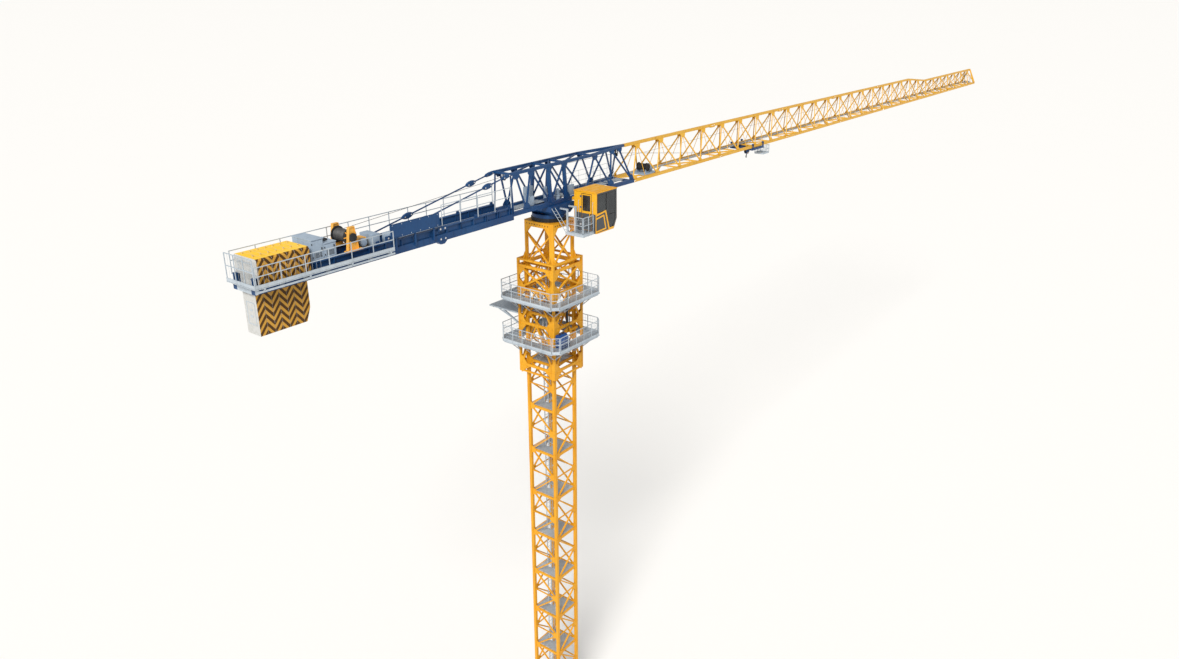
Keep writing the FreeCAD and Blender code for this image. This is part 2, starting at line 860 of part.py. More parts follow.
def winch_stands():
    """Two trestles that carry the drum's shaft."""
    outline = [(winch_x - 26, girder_top), (winch_x + 26, girder_top), (winch_x + 12, winch_axis + stand_rise),
               (winch_x - 12, winch_axis + stand_rise)]
    stand = prism([(x, stand_half, jib_level + z) for x, z in outline], (0, stand_thick, 0))
    foot = jib_box(winch_x - 40, winch_x + 40, stand_half, girder_half - 4, girder_top,
                   girder_top + 5)
    stand = fused([stand, foot])
    bore = cylinder((winch_x, 0, jib_level + winch_axis), (0, 1, 0), drum_shaft_r + shaft_gap, 200)
    return both_sides(stand.cut(bore)).Solids


def winch_motor():
    """The drive beside the drum, on the deck between the girders."""
    x0 = winch_x + drum_flange_r + 6
    base = jib_box(x0, x0 + 55, -30, 30, deck_level - 3, deck_level + 12)
    gearbox = jib_box(x0 + 6, x0 + 50, -26, 18, deck_level + 12, deck_level + 62)
    motor = cylinder((x0 + 28, -36, jib_level + deck_level + 44), (0, 1, 0), 16, 72)
    return fused([base, gearbox, motor])


def hoist_winch():
    return Part.makeCompound(winch_stands() + [winch_motor()])


def hoist_drum():
    y0 = -drum_half
    pieces = [cylinder((winch_x, y0, jib_level + winch_axis), (0, 1, 0), drum_r, drum_half * 2)]
    for y in (-drum_half, drum_half - 3):
        pieces.append(cylinder((winch_x, y, jib_level + winch_axis), (0, 1, 0), drum_flange_r, 3))
    brake = stand_half + stand_thick + 2
    reach = brake + brake_width
    pieces.append(cylinder((winch_x, -reach, jib_level + winch_axis), (0, 1, 0), drum_shaft_r,
                           reach * 2))
    pieces.append(cylinder((winch_x, -reach, jib_level + winch_axis), (0, 1, 0), brake_r, brake_width))
    return fused(pieces)


def cabinets():
    """The electrical cabinets ahead of the ballast."""
    x0, x1 = cabinet_x
    low = girder_top
    middle = (x0 + x1) / 2
    inner = girder_half - girder_box_width
    plinth = jib_box(x0, x1, -inner, inner, deck_level - 3, low)
    large = jib_box(x0, middle - 1, -cabinet_half, cabinet_half, low, cabinet_top)
    small = jib_box(middle - 1, x1, -cabinet_half, cabinet_half * 0.5, low, cabinet_top - 24)
    return fused([plinth, large, small])


def sign_board():
    """A plain board on two brackets, outside the near girder."""
    x0, x1 = sign_x
    z0, z1 = sign_z
    y1 = -girder_half - 8
    board = jib_box(x0, x1, y1 - sign_thick, y1, z0, z1)
    posts = []
    for x in (x0 + 30, (x0 + x1) / 2, x1 - 30):
        posts.append(jib_box(x - 4, x + 4, y1, y1 + 6, 0, z1 - 6))
        posts.append(jib_box(x - 4, x + 4, y1, -girder_half, 0, 10))
    return fused([board] + posts)


# Cab

def cab_block(inset):
    """The cab's solid form, drawn in by an inset: upright back and a nose that slopes under."""
    x0, x1 = cab_x[0] + inset, cab_x[1] - inset
    z0, z1 = jib_level + cab_low + inset, jib_level + cab_roof - inset
    y0, y1 = cab_y[0] + inset, cab_y[1] - inset
    outline = [(x0, y0, z0), (x1 - cab_nose, y0, z0), (x1, y0, z0 + cab_nose * 2), (x1 - cab_rake, y0, z1),
               (x0, y0, z1)]
    return prism(outline, (0, y1 - y0, 0))


def door_edges():
    start = cab_y[0] + cab_door_inset
    return start, start + cab_door_width


def cab_doorway():
    x0 = cab_x[0]
    low = cab_low + cab_frame
    door0, door1 = door_edges()
    return jib_box(x0 - 1, x0 + cab_wall + 1, door0, door1, low, low + cab_door_height)


def side_window():
    """Outline of a side window: above the lower panel at the back, and down to the foot in front."""
    x0, x1 = cab_x
    head, sill, foot = cab_roof - cab_frame, cab_low + cab_sill, cab_low + cab_frame
    panel = x0 + cab_panel
    return [(x0 + cab_pillar, sill), (panel, sill), (panel + cab_panel_lean, foot),
            (x1 - cab_nose - cab_corner / 2, foot), (x1 - cab_corner, cab_low + cab_nose * 2),
            (x1 - cab_corner, head), (x0 + cab_pillar, head)]


def cab_windows():
    """The window openings: both sides, the windscreen and the pane in the nose."""
    x1 = cab_x[1]
    y0, y1 = cab_y
    f = cab_frame
    head = cab_roof - f
    near = prism([(x, y0 - 1, jib_level + z) for x, z in side_window()], (0, cab_wall + 2, 0))
    far = jib_box(cab_x[0] + cab_arms[0] + cab_arm_width + cab_wall * 2, cab_x[0] + cab_arms[1] - cab_wall * 2,
                  y1 - cab_wall - 1, y1 + 1, cab_low + cab_sill, head)
    front = jib_box(x1 - f, x1 + 1, y0 + f, y1 - f, cab_low + cab_nose * 2 + f / 2, head)
    nose = jib_box(x1 - cab_nose - 2, x1 + 1, y0 + f, y1 - f, cab_low + 6, cab_low + cab_nose * 2 - 4)
    return [near, far, front, nose]


def cab_shell():
    """The hollow cab with its openings cut through, and the two arms that hang it."""
    shell = cab_block(0).cut(cab_block(cab_wall))
    for opening in [cab_doorway()] + cab_windows():
        shell = shell.cut(opening)
    arms = []
    for place in cab_arms:
        x = cab_x[0] + place
        chord = frame_line(x) + frame_chord_width / 2
        arms.append(jib_box(x, x + cab_arm_width, cab_y[1], -chord + 2, 2, frame_chord_height - 2))
    roof = jib_box(cab_x[0] - cab_lip, cab_x[1] - cab_rake + cab_lip, cab_y[0] - cab_lip, cab_y[1] + cab_lip,
                   cab_roof - cab_wall, cab_roof)
    return fused([shell, roof] + arms).cut(frame_chords())


def cab_glazing():
    """Panes that fill the window openings, flush with the cab's outside."""
    skin = cab_block(0).cut(cab_block(pane_thick))
    return Part.makeCompound([skin.common(opening) for opening in cab_windows()])


def cab_door():
    door0, door1 = door_edges()
    low = cab_low + cab_frame
    x0 = cab_x[0]
    leaf = jib_box(x0, x0 + cab_wall, door0 + door_gap, door1 - door_gap, low + door_gap,
                   low + cab_door_height - door_gap)
    handle = jib_box(x0 - 4, x0, door0 + 8, door0 + 11, low + 70, low + 92)
    return fused([leaf, handle])


def cab_platform():
    """The landing behind the cab's door and the two hangers that carry it from the turntable."""
    z = cab_low
    x0, x1 = cab_platform_x, cab_x[0]
    floor = jib_box(x0, x1, cab_platform_outer, cab_platform_inner, z, z + platform_thick)
    hangers = []
    for x in (x0 + 8, x1 - 16):
        hangers.append(jib_box(x, x + 8, cab_platform_inner, -turntable_width / 2, -22, -14))
        hangers.append(jib_box(x, x + 8, cab_platform_inner - 8, cab_platform_inner, z, -14))
    return fused([floor] + hangers)


def cab_railing():
    """Railings on the landing's outer and rear edges, up to the cab's back."""
    y0 = cab_platform_outer + rail_bar
    z = jib_level + cab_low + platform_thick
    x0 = cab_platform_x + rail_bar
    side = rail_panel((x0 + rail_bar, y0), (cab_x[0] - 2, y0), z, cab_rail_height, 40)
    back = rail_panel((x0, y0 + rail_bar), (x0, cab_platform_inner - 12), z, cab_rail_height, 50)
    return Part.makeCompound([side, back])


# Trolley and hook

def trolley_winch():
    """The small winch inside the jib's first section."""
    x0 = jib_root + 170
    low = jib_chord_height / 2 + 4
    base = jib_box(x0 - 20, x0 + 130, -chord_inner + 4, chord_inner - 4, low, low + 6)
    drum = cylinder((x0 + 30, -27, jib_level + low + 40), (0, 1, 0), 22, 54)
    cheeks = [jib_box(x0 + 4, x0 + 56, y, y + 5, low + 6, low + 46) for y in (-32, 27)]
    motor = jib_box(x0 + 70, x0 + 110, -18, 18, low + 6, low + 44)
    return fused([base, drum, motor] + cheeks)


def trolley_frame():
    """The trolley: beams below the jib, side plates outside it and rollers on the bottom chords."""
    half = trolley_length / 2
    x0, x1 = trolley_x - half, trolley_x + half
    high = -trolley_gap
    low = high - trolley_beam
    inner = jib_half + trolley_side_gap
    pieces = []
    for x in (x0, x1 - trolley_beam, trolley_x - rope_spread_x - trolley_beam / 2,
              trolley_x + rope_spread_x - trolley_beam / 2):
        pieces.append(jib_box(x, x + trolley_beam, -inner, inner, low, high))
    axle = jib_chord_height + roller_gap + roller_r
    side = jib_box(x0, x1, inner, inner + trolley_plate, low, high + 6)
    for x in (x0 + roller_r + 4, x1 - roller_r - 4):
        side = side.fuse(jib_box(x - roller_r, x + roller_r, inner, inner + trolley_plate, low, axle + 4))
        side = side.fuse(cylinder((x, jib_half - roller_seat, jib_level + axle), (0, 1, 0), roller_r,
                                  inner - jib_half + roller_seat))
    return fused(pieces + [side, mirrored(side)])


def trolley_basket():
    """The open maintenance basket hung on the trolley's outer end."""
    x0 = trolley_x + trolley_length / 2
    x1 = x0 + basket_length
    y0 = -jib_half - trolley_side_gap - trolley_plate
    y1 = y0 + basket_width
    low = -basket_height - basket_drop
    rim = -basket_drop - 2
    pieces = [jib_box(x0, x1, y0, y1, low, low + 4)]
    for y in (y0, y1 - rail_bar):
        pieces.append(jib_box(x0, x1, y, y + rail_bar, low, rim))
    for x in (x0, x1 - rail_bar):
        pieces.append(jib_box(x, x + rail_bar, y0, y1, low, rim))
    return fused(pieces)


def block_top():
    return -trolley_gap - trolley_beam - block_drop


def hoist_falls():
    """Four parts of rope between the trolley and the hook block."""
    low = block_top()
    falls = []
    for x in (-rope_spread_x, rope_spread_x):
        for y in (-6, 6):
            falls.append(cylinder((trolley_x + x, y, jib_level + low), (0, 0, 1), rope_r, block_drop))
    return Part.makeCompound(falls)


def hook_block():
    top = block_top()
    half = block_length / 2
    middle, low = top - block_height / 2, top - block_height
    outline = [(trolley_x - half, top), (trolley_x + half, top), (trolley_x + half, middle),
               (trolley_x + half / 3, low), (trolley_x - half / 3, low), (trolley_x - half, middle)]
    return prism([(x, -block_thick / 2, jib_level + z) for x, z in outline], (0, block_thick, 0))


def hook():
    """The swivelling hook: a shank under the block and a C-shaped bill."""
    top = block_top() - block_height
    shank = cylinder((trolley_x, 0, jib_level + top - shank_length), (0, 0, 1), swivel_r,
                     shank_length - swivel_gap)
    centre = Vec(trolley_x, 0, jib_level + top - shank_length + 2 - hook_r)
    outer = Part.makeCylinder(hook_r, hook_thick, centre - Vec(0, hook_thick / 2, 0), Vec(0, 1, 0))
    inner = Part.makeCylinder(hook_r * 0.5, hook_thick + 2, centre - Vec(0, hook_thick / 2 + 1, 0),
                              Vec(0, 1, 0))
    mouth = box(centre.x, centre.x + hook_r + 5, -20, 20, centre.z, centre.z + hook_r * 0.72)
    return fused([shank, outer.cut(inner).cut(mouth)])


nodes = {
    "base_frame": base_frame,
    "mast_legs": mast_legs,
    "mast_bracing": mast_bracing,
    "mast_ladder": ladder,
    "mast_landings": landings,
    "power_cable": power_cable,
    "climbing_rod": climbing_rod,
    "cage_posts": cage_posts,
    "cage_bracing": cage_bracing,
    "cage_platforms": cage_platforms,
    "cage_railings": cage_railings,
    "cage_shoulders": shoulder_gussets,
    "section_carrier": section_carrier,
    "climbing_barrel": climbing_barrel,
    "pump_unit": pump_unit,
    "slewing_support": slewing_support,
    "support_bracing": support_bracing,
    "slewing_ring": slewing_ring,
    "turntable": turntable,
    "frame_chords": frame_chords,
    "frame_floor": frame_floor,
    "head_chords": head_chords,
    "head_side_near": head_side,
    "head_side_far": lambda: mirrored(head_side()),
    "jib_top_chord": jib_top_chord,
    "jib_bottom_chords": jib_bottom_chords,
    "jib_side_near": jib_side,
    "jib_side_far": lambda: mirrored(jib_side()),
    "jib_floor": jib_floor,
    "jib_end_frame": jib_end_frame,
    "counter_girders": girders,
    "counter_deck": counter_deck,
    "counter_walkways": walkways,
    "counter_railings": counter_railings,
    "ballast_slabs": ballast,
    "tie_bars": lambda: both_sides(tie()),
    "hoist_winch": hoist_winch,
    "hoist_drum": hoist_drum,
    "cabinets": cabinets,
    "sign_board": sign_board,
    "cab_shell": cab_shell,
    "cab_glazing": cab_glazing,
    "cab_door": cab_door,
    "cab_platform": cab_platform,
    "cab_railing": cab_railing,
    "trolley_winch": trolley_winch,
    "trolley_frame": trolley_frame,
    "trolley_basket": trolley_basket,
    "hoist_falls": hoist_falls,
    "hook_block": hook_block,
    "hook": hook,
}

os.makedirs("parts", exist_ok=True)
for name, make in nodes.items():
    shape = make()
    shape.exportStep("parts/" + name + ".step")
    bounds = shape.BoundBox
    print(name, len(shape.Solids), "solids", round(shape.Volume / 1000), "cm3, valid", shape.isValid(),
          [round(v) for v in (bounds.XMin, bounds.XMax, bounds.YMin, bounds.YMax, bounds.ZMin, bounds.ZMax)])
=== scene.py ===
import math
import bmesh
import bpy
from mathutils import Matrix, Vector


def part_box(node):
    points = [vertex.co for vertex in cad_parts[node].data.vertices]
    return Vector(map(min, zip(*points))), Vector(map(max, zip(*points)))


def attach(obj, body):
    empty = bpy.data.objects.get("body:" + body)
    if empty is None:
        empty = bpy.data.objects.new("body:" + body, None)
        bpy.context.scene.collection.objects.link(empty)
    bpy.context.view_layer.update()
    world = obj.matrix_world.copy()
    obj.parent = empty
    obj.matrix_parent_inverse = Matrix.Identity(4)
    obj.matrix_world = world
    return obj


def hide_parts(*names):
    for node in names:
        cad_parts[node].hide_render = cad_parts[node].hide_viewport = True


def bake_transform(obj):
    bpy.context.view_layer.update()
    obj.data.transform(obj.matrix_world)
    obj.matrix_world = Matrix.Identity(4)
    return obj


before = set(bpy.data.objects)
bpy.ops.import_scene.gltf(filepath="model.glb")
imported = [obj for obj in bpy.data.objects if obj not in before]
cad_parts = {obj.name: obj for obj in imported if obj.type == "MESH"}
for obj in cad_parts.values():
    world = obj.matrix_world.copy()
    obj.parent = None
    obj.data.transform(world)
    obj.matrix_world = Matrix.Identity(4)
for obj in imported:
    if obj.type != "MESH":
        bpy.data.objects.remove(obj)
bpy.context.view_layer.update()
print("frame loaded,", len(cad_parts), "nodes")

mm = 0.001
up = Vector((0, 0, 1))
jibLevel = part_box("jib_bottom_chords")[0].z


def lowOf(node):
    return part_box(node)[0]


def highOf(node):
    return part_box(node)[1]


# millimetres over the jib's level to metres
def overJib(x, y, z):
    return Vector((x * mm, y * mm, jibLevel + z * mm))


def newGroup(name, kind, inputs, outputs):
    group = bpy.data.node_groups.new(name, kind)
    for label, socketType, value in inputs:
        socket = group.interface.new_socket(name=label, in_out="INPUT", socket_type=socketType)
        if value is not None:
            socket.default_value = value
    for label, socketType in outputs:
        group.interface.new_socket(name=label, in_out="OUTPUT", socket_type=socketType)
    return group, group.nodes.new("NodeGroupInput"), group.nodes.new("NodeGroupOutput")


def addNode(tree, kind, **settings):
    node = tree.nodes.new(kind)
    for key, value in settings.items():
        setattr(node, key, value)
    return node


def mathNode(tree, operation, first, second=None):
    node = addNode(tree, "ShaderNodeMath", operation=operation)
    for socket, value in zip(node.inputs, (first, second)):
        if value is None:
            continue
        if isinstance(value, (int, float)):
            socket.default_value = value
        else:
            tree.links.new(value, socket)
    return node.outputs[0]


def mixColour(tree, factor, first, second):
    node = addNode(tree, "ShaderNodeMix", data_type="RGBA")
    for socket, value in zip((node.inputs[0], node.inputs[6], node.inputs[7]), (factor, first, second)):
        if isinstance(value, (int, float, tuple)):
            socket.default_value = value
        else:
            tree.links.new(value, socket)
    return node.outputs[2]


def noiseOf(tree, vector, scale, detail=3.0, stretch=None):
    if stretch:
        mapping = addNode(tree, "ShaderNodeMapping")
        mapping.inputs["Scale"].default_value = stretch
        tree.links.new(vector, mapping.inputs["Vector"])
        vector = mapping.outputs[0]
    noise = addNode(tree, "ShaderNodeTexNoise")
    noise.inputs["Detail"].default_value = detail
    tree.links.new(vector, noise.inputs["Vector"])
    if isinstance(scale, (int, float)):
        noise.inputs["Scale"].default_value = scale
    else:
        tree.links.new(scale, noise.inputs["Scale"])
    return noise.outputs["Fac"]


def rampOf(tree, value, low, high):
    node = addNode(tree, "ShaderNodeMapRange")
    tree.links.new(value, node.inputs["Value"])
    node.inputs["From Min"].default_value = low
    node.inputs["From Max"].default_value = high
    return node.outputs[0]


# paint or zinc with fading, rain streaks, grime patches and a fine skin
def weatheredGroup():
    group, enter, leave = newGroup(
        "weathered", "ShaderNodeTree",
        [("Vector", "NodeSocketVector", None), ("Base", "NodeSocketColor", (0.8, 0.4, 0.1, 1)),
         ("Faded", "NodeSocketColor", (0.9, 0.6, 0.3, 1)), ("Grime", "NodeSocketColor", (0.1, 0.07, 0.05, 1)),
         ("Fading", "NodeSocketFloat", 0.4), ("Dirt", "NodeSocketFloat", 0.3),
         ("Gloss", "NodeSocketFloat", 0.4), ("Grain", "NodeSocketFloat", 60.0)],
        [("Color", "NodeSocketColor"), ("Roughness", "NodeSocketFloat"), ("Height", "NodeSocketFloat")])
    vector = enter.outputs["Vector"]
    broad = rampOf(group, noiseOf(group, vector, 5.0), 0.35, 0.75)
    streaks = rampOf(group, noiseOf(group, vector, 1.0, 4.0, (55, 55, 5)), 0.52, 0.8)
    patches = rampOf(group, noiseOf(group, vector, enter.outputs["Grain"], 6.0), 0.55, 0.85)
    faded = mathNode(group, "MULTIPLY", broad, enter.outputs["Fading"])
    dirt = mathNode(group, "MAXIMUM", streaks, patches)
    dirt = mathNode(group, "MULTIPLY", dirt, enter.outputs["Dirt"])
    colour = mixColour(group, faded, enter.outputs["Base"], enter.outputs["Faded"])
    colour = mixColour(group, dirt, colour, enter.outputs["Grime"])
    group.links.new(colour, leave.inputs["Color"])
    rough = mathNode(group, "MULTIPLY", mathNode(group, "ADD", dirt, faded), 0.35)
    group.links.new(mathNode(group, "ADD", rough, enter.outputs["Gloss"]), leave.inputs["Roughness"])
    skin = noiseOf(group, vector, 420.0, 2.0)
    height = mathNode(group, "ADD", mathNode(group, "MULTIPLY", skin, 0.4),
                      mathNode(group, "MULTIPLY", dirt, -0.6))
    group.links.new(height, leave.inputs["Height"])
    return group


# two crossing sets of narrow bars: 1 on a bar, 0 in a hole
def gratingGroup():
    group, enter, leave = newGroup(
        "grating", "ShaderNodeTree",
        [("Vector", "NodeSocketVector", None), ("Pitch", "NodeSocketFloat", 0.006),
         ("Share", "NodeSocketFloat", 0.35)],
        [("Bars", "NodeSocketFloat")])
    split = addNode(group, "ShaderNodeSeparateXYZ")
    group.links.new(enter.outputs["Vector"], split.inputs[0])
    masks = []
    for axis in (0, 1):
        place = mathNode(group, "DIVIDE", split.outputs[axis], enter.outputs["Pitch"])
        masks.append(mathNode(group, "LESS_THAN", mathNode(group, "FRACT", place), enter.outputs["Share"]))
    group.links.new(mathNode(group, "MAXIMUM", masks[0], masks[1]), leave.inputs["Bars"])
    return group


# stripes that climb one slab and fall on the next: 1 on a dark stripe
def chevronGroup():
    group, enter, leave = newGroup(
        "chevrons", "ShaderNodeTree",
        [("Vector", "NodeSocketVector", None), ("Slab", "NodeSocketFloat", 0.03),
         ("Start", "NodeSocketFloat", 0.0), ("Period", "NodeSocketFloat", 0.03),
         ("Slope", "NodeSocketFloat", 1.0), ("Share", "NodeSocketFloat", 0.5)],
        [("Stripe", "NodeSocketFloat")])
    split = addNode(group, "ShaderNodeSeparateXYZ")
    group.links.new(enter.outputs["Vector"], split.inputs[0])
    along = mathNode(group, "SUBTRACT", split.outputs[0], enter.outputs["Start"])
    zigzag = mathNode(group, "PINGPONG", along, enter.outputs["Slab"])
    lift = mathNode(group, "MULTIPLY", zigzag, enter.outputs["Slope"])
    place = mathNode(group, "SUBTRACT", split.outputs[2], lift)
    place = mathNode(group, "FRACT", mathNode(group, "DIVIDE", place, enter.outputs["Period"]))
    group.links.new(mathNode(group, "LESS_THAN", place, enter.outputs["Share"]), leave.inputs["Stripe"])
    return group


groups = {"weathered": weatheredGroup(), "grating": gratingGroup(), "chevrons": chevronGroup()}
print("shader groups built")


finishes = {
    "mastPaint": {"base": (0.66, 0.295, 0.009), "faded": (0.74, 0.395, 0.03), "grime": (0.30, 0.09, 0.004),
                  "fading": 0.6, "dirt": 0.45, "gloss": 0.36, "bump": 0.25},
    "jibPaint": {"base": (0.68, 0.365, 0.027), "faded": (0.73, 0.455, 0.095), "grime": (0.34, 0.15, 0.03),
                 "fading": 0.6, "dirt": 0.4, "gloss": 0.36, "bump": 0.25},
    "navyPaint": {"base": (0.007, 0.040, 0.134), "faded": (0.017, 0.082, 0.21), "grime": (0.01, 0.012, 0.02),
                  "fading": 0.6, "dirt": 0.35, "gloss": 0.30, "bump": 0.2},
    "zinc": {"base": (0.42, 0.48, 0.54), "faded": (0.60, 0.66, 0.71), "grime": (0.16, 0.18, 0.20),
             "fading": 0.8, "dirt": 0.35, "gloss": 0.45, "bump": 0.3, "metal": 0.35},
    "cabPaint": {"base": (0.77, 0.375, 0.010), "faded": (0.81, 0.455, 0.04), "grime": (0.35, 0.14, 0.02),
                 "fading": 0.4, "dirt": 0.25, "gloss": 0.25, "bump": 0.12, "coat": 0.15},
    "cabinetPaint": {"base": (0.28, 0.36, 0.46), "faded": (0.42, 0.50, 0.59), "grime": (0.10, 0.12, 0.15),
                     "fading": 0.5, "dirt": 0.35, "gloss": 0.38, "bump": 0.2},
    "winchPaint": {"base": (0.80, 0.40, 0.06), "faded": (0.88, 0.52, 0.16), "grime": (0.25, 0.11, 0.02),
                   "fading": 0.5, "dirt": 0.45, "gloss": 0.38, "bump": 0.2},
    "pumpPaint": {"base": (0.007, 0.043, 0.185), "faded": (0.018, 0.085, 0.27), "grime": (0.01, 0.02, 0.05),
                  "fading": 0.5, "dirt": 0.25, "gloss": 0.28, "bump": 0.15},
    "darkSteel": {"base": (0.035, 0.037, 0.042), "faded": (0.08, 0.08, 0.085), "grime": (0.012, 0.01, 0.008),
                  "fading": 0.7, "dirt": 0.5, "gloss": 0.38, "bump": 0.3, "metal": 0.6},
    "brightSteel": {"base": (0.62, 0.63, 0.65), "faded": (0.72, 0.73, 0.75), "grime": (0.2, 0.18, 0.15),
                    "fading": 0.4, "dirt": 0.2, "gloss": 0.18, "bump": 0.05, "metal": 1.0},
    "ropeWire": {"base": (0.10, 0.10, 0.105), "faded": (0.2, 0.2, 0.2), "grime": (0.02, 0.018, 0.015),
                 "fading": 0.7, "dirt": 0.5, "gloss": 0.42, "bump": 0.6, "metal": 0.6},
    "charcoal": {"base": (0.055, 0.062, 0.070), "faded": (0.10, 0.11, 0.12), "grime": (0.03, 0.028, 0.025),
                 "fading": 0.6, "dirt": 0.3, "gloss": 0.32, "bump": 0.2},
    "rubber": {"base": (0.018, 0.018, 0.02), "faded": (0.04, 0.04, 0.042), "grime": (0.06, 0.055, 0.05),
               "fading": 0.5, "dirt": 0.3, "gloss": 0.55, "bump": 0.15},
}


def paintMaterial(name, values):
    material = bpy.data.materials.new(name)
    material.use_nodes = True
    tree = material.node_tree
    shader = tree.nodes["Principled BSDF"]
    coords = addNode(tree, "ShaderNodeTexCoord")
    surface = addNode(tree, "ShaderNodeGroup", node_tree=groups["weathered"])
    tree.links.new(coords.outputs["Object"], surface.inputs["Vector"])
    for label in ("base", "faded", "grime"):
        surface.inputs[label.capitalize()].default_value = (*values[label], 1)
    surface.inputs["Fading"].default_value = values["fading"]
    surface.inputs["Dirt"].default_value = values["dirt"]
    surface.inputs["Gloss"].default_value = values["gloss"]
    shader.inputs["Metallic"].default_value = values.get("metal", 0.0)
    shader.inputs["Coat Weight"].default_value = values.get("coat", 0.0)
    shader.inputs["Specular IOR Level"].default_value = values.get("shine", 0.25)
    bump = addNode(tree, "ShaderNodeBump")
    bump.inputs["Strength"].default_value = values["bump"]
    bump.inputs["Distance"].default_value = 0.4 * mm
    tree.links.new(surface.outputs["Height"], bump.inputs["Height"])
    tree.links.new(bump.outputs[0], shader.inputs["Normal"])
    tree.links.new(surface.outputs["Color"], shader.inputs["Base Color"])
    tree.links.new(surface.outputs["Roughness"], shader.inputs["Roughness"])
    return material, tree, shader, coords, surface, bump


materials = {name: paintMaterial(name, values)[0] for name, values in finishes.items()}


# galvanised grating: light bars over holes on the faces that look up or down; the holes are painted shade, a
# shaded zinc tone, and are mostly see-through where the grating is open
def deckMaterial(name, openness):
    deck = {"pitch": 7.5 * mm, "share": 0.42, "hole": (0.16, 0.19, 0.23, 1)}
    material, tree, shader, coords, surface, bump = paintMaterial(name, finishes["zinc"])
    bars = addNode(tree, "ShaderNodeGroup", node_tree=groups["grating"])
    bars.inputs["Pitch"].default_value = deck["pitch"]
    bars.inputs["Share"].default_value = deck["share"]
    tree.links.new(coords.outputs["Object"], bars.inputs["Vector"])
    split = addNode(tree, "ShaderNodeSeparateXYZ")
    tree.links.new(coords.outputs["Normal"], split.inputs[0])
    level = mathNode(tree, "GREATER_THAN", mathNode(tree, "ABSOLUTE", split.outputs[2]), 0.7)
    holes = mathNode(tree, "MULTIPLY", mathNode(tree, "SUBTRACT", 1.0, bars.outputs[0]), level)
    # painted shade: the holes take a darker, shaded copy of the zinc instead of showing what lies below
    tree.links.new(mixColour(tree, holes, surface.outputs["Color"], deck["hole"]),
                   shader.inputs["Base Color"])
    height = mathNode(tree, "SUBTRACT", surface.outputs["Height"], mathNode(tree, "MULTIPLY", holes, 3.0))
    tree.links.new(height, bump.inputs["Height"])
    if openness:
        seen = mathNode(tree, "SUBTRACT", 1.0, mathNode(tree, "MULTIPLY", holes, openness))
        tree.links.new(seen, shader.inputs["Alpha"])
    return material


# cast slabs: yellow tops, chevrons on the two ends with their yellow darkened to a tan as painted shade, bare
# pale concrete on the faces along the crane
def ballastMaterial():
    low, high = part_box("ballast_slabs")
    ballast = {"period": 33 * mm, "slope": 1.25, "share": 0.52, "slabs": 7, "yellow": (0.93, 0.56, 0.03),
               "shadedYellow": (0.41, 0.185, 0.036), "brown": (0.055, 0.022, 0.004), "concrete": (0.52, 0.525, 0.52)}
    values = dict(finishes["mastPaint"], base=ballast["yellow"], faded=(0.9, 0.62, 0.12), dirt=0.25, bump=0.5,
                  gloss=0.55)
    material, tree, shader, coords, surface, bump = paintMaterial("ballastPaint", values)
    stripes = addNode(tree, "ShaderNodeGroup", node_tree=groups["chevrons"])
    stripes.inputs["Slab"].default_value = (high.x - low.x) / ballast["slabs"]
    stripes.inputs["Start"].default_value = low.x
    stripes.inputs["Period"].default_value = ballast["period"]
    stripes.inputs["Slope"].default_value = ballast["slope"]
    stripes.inputs["Share"].default_value = ballast["share"]
    tree.links.new(coords.outputs["Object"], stripes.inputs["Vector"])
    normal = addNode(tree, "ShaderNodeSeparateXYZ")
    tree.links.new(coords.outputs["Normal"], normal.inputs[0])
    sides = mathNode(tree, "GREATER_THAN", mathNode(tree, "ABSOLUTE", normal.outputs[1]), 0.6)
    faces = mathNode(tree, "GREATER_THAN", mathNode(tree, "ABSOLUTE", normal.outputs[0]), 0.6)
    worn = noiseOf(tree, coords.outputs["Object"], 90.0, 6.0)
    # painted shade: the chevron sides' yellow is mixed three quarters toward a darker tan
    colour = mixColour(tree, mathNode(tree, "MULTIPLY", sides, 0.75), surface.outputs["Color"],
                       (*ballast["shadedYellow"], 1))
    dark = mathNode(tree, "MULTIPLY", mathNode(tree, "MULTIPLY", stripes.outputs[0], sides), 0.96)
    colour = mixColour(tree, dark, colour, (*ballast["brown"], 1))
    bare = mixColour(tree, rampOf(tree, worn, 0.35, 0.7), (*ballast["concrete"], 1), (0.46, 0.46, 0.44, 1))
    colour = mixColour(tree, faces, colour, bare)
    tree.links.new(colour, shader.inputs["Base Color"])
    tree.links.new(mathNode(tree, "ADD", worn, surface.outputs["Height"]), bump.inputs["Height"])
    return material


# dark tinted panes, faintly streaked
def glassMaterial():
    glass = {"tint": (0.014, 0.018, 0.022, 1), "roughness": 0.08, "alpha": 0.86}
    material = bpy.data.materials.new("cabGlass")
    material.use_nodes = True
    tree = material.node_tree
    shader = tree.nodes["Principled BSDF"]
    coords = addNode(tree, "ShaderNodeTexCoord")
    film = noiseOf(tree, coords.outputs["Object"], 14.0, 4.0)
    tree.links.new(mixColour(tree, rampOf(tree, film, 0.4, 0.9), glass["tint"], (0.04, 0.048, 0.052, 1)),
                   shader.inputs["Base Color"])
    roughness = mathNode(tree, "ADD", mathNode(tree, "MULTIPLY", film, 0.12), glass["roughness"])
    tree.links.new(roughness, shader.inputs["Roughness"])
    shader.inputs["Alpha"].default_value = glass["alpha"]
    shader.inputs["Specular IOR Level"].default_value = 0.5
    return material


materials["deckGrating"] = deckMaterial("deckGrating", 0.0)
materials["openGrating"] = deckMaterial("openGrating", 0.9)
materials["ballastPaint"] = ballastMaterial()
materials["cabGlass"] = glassMaterial()

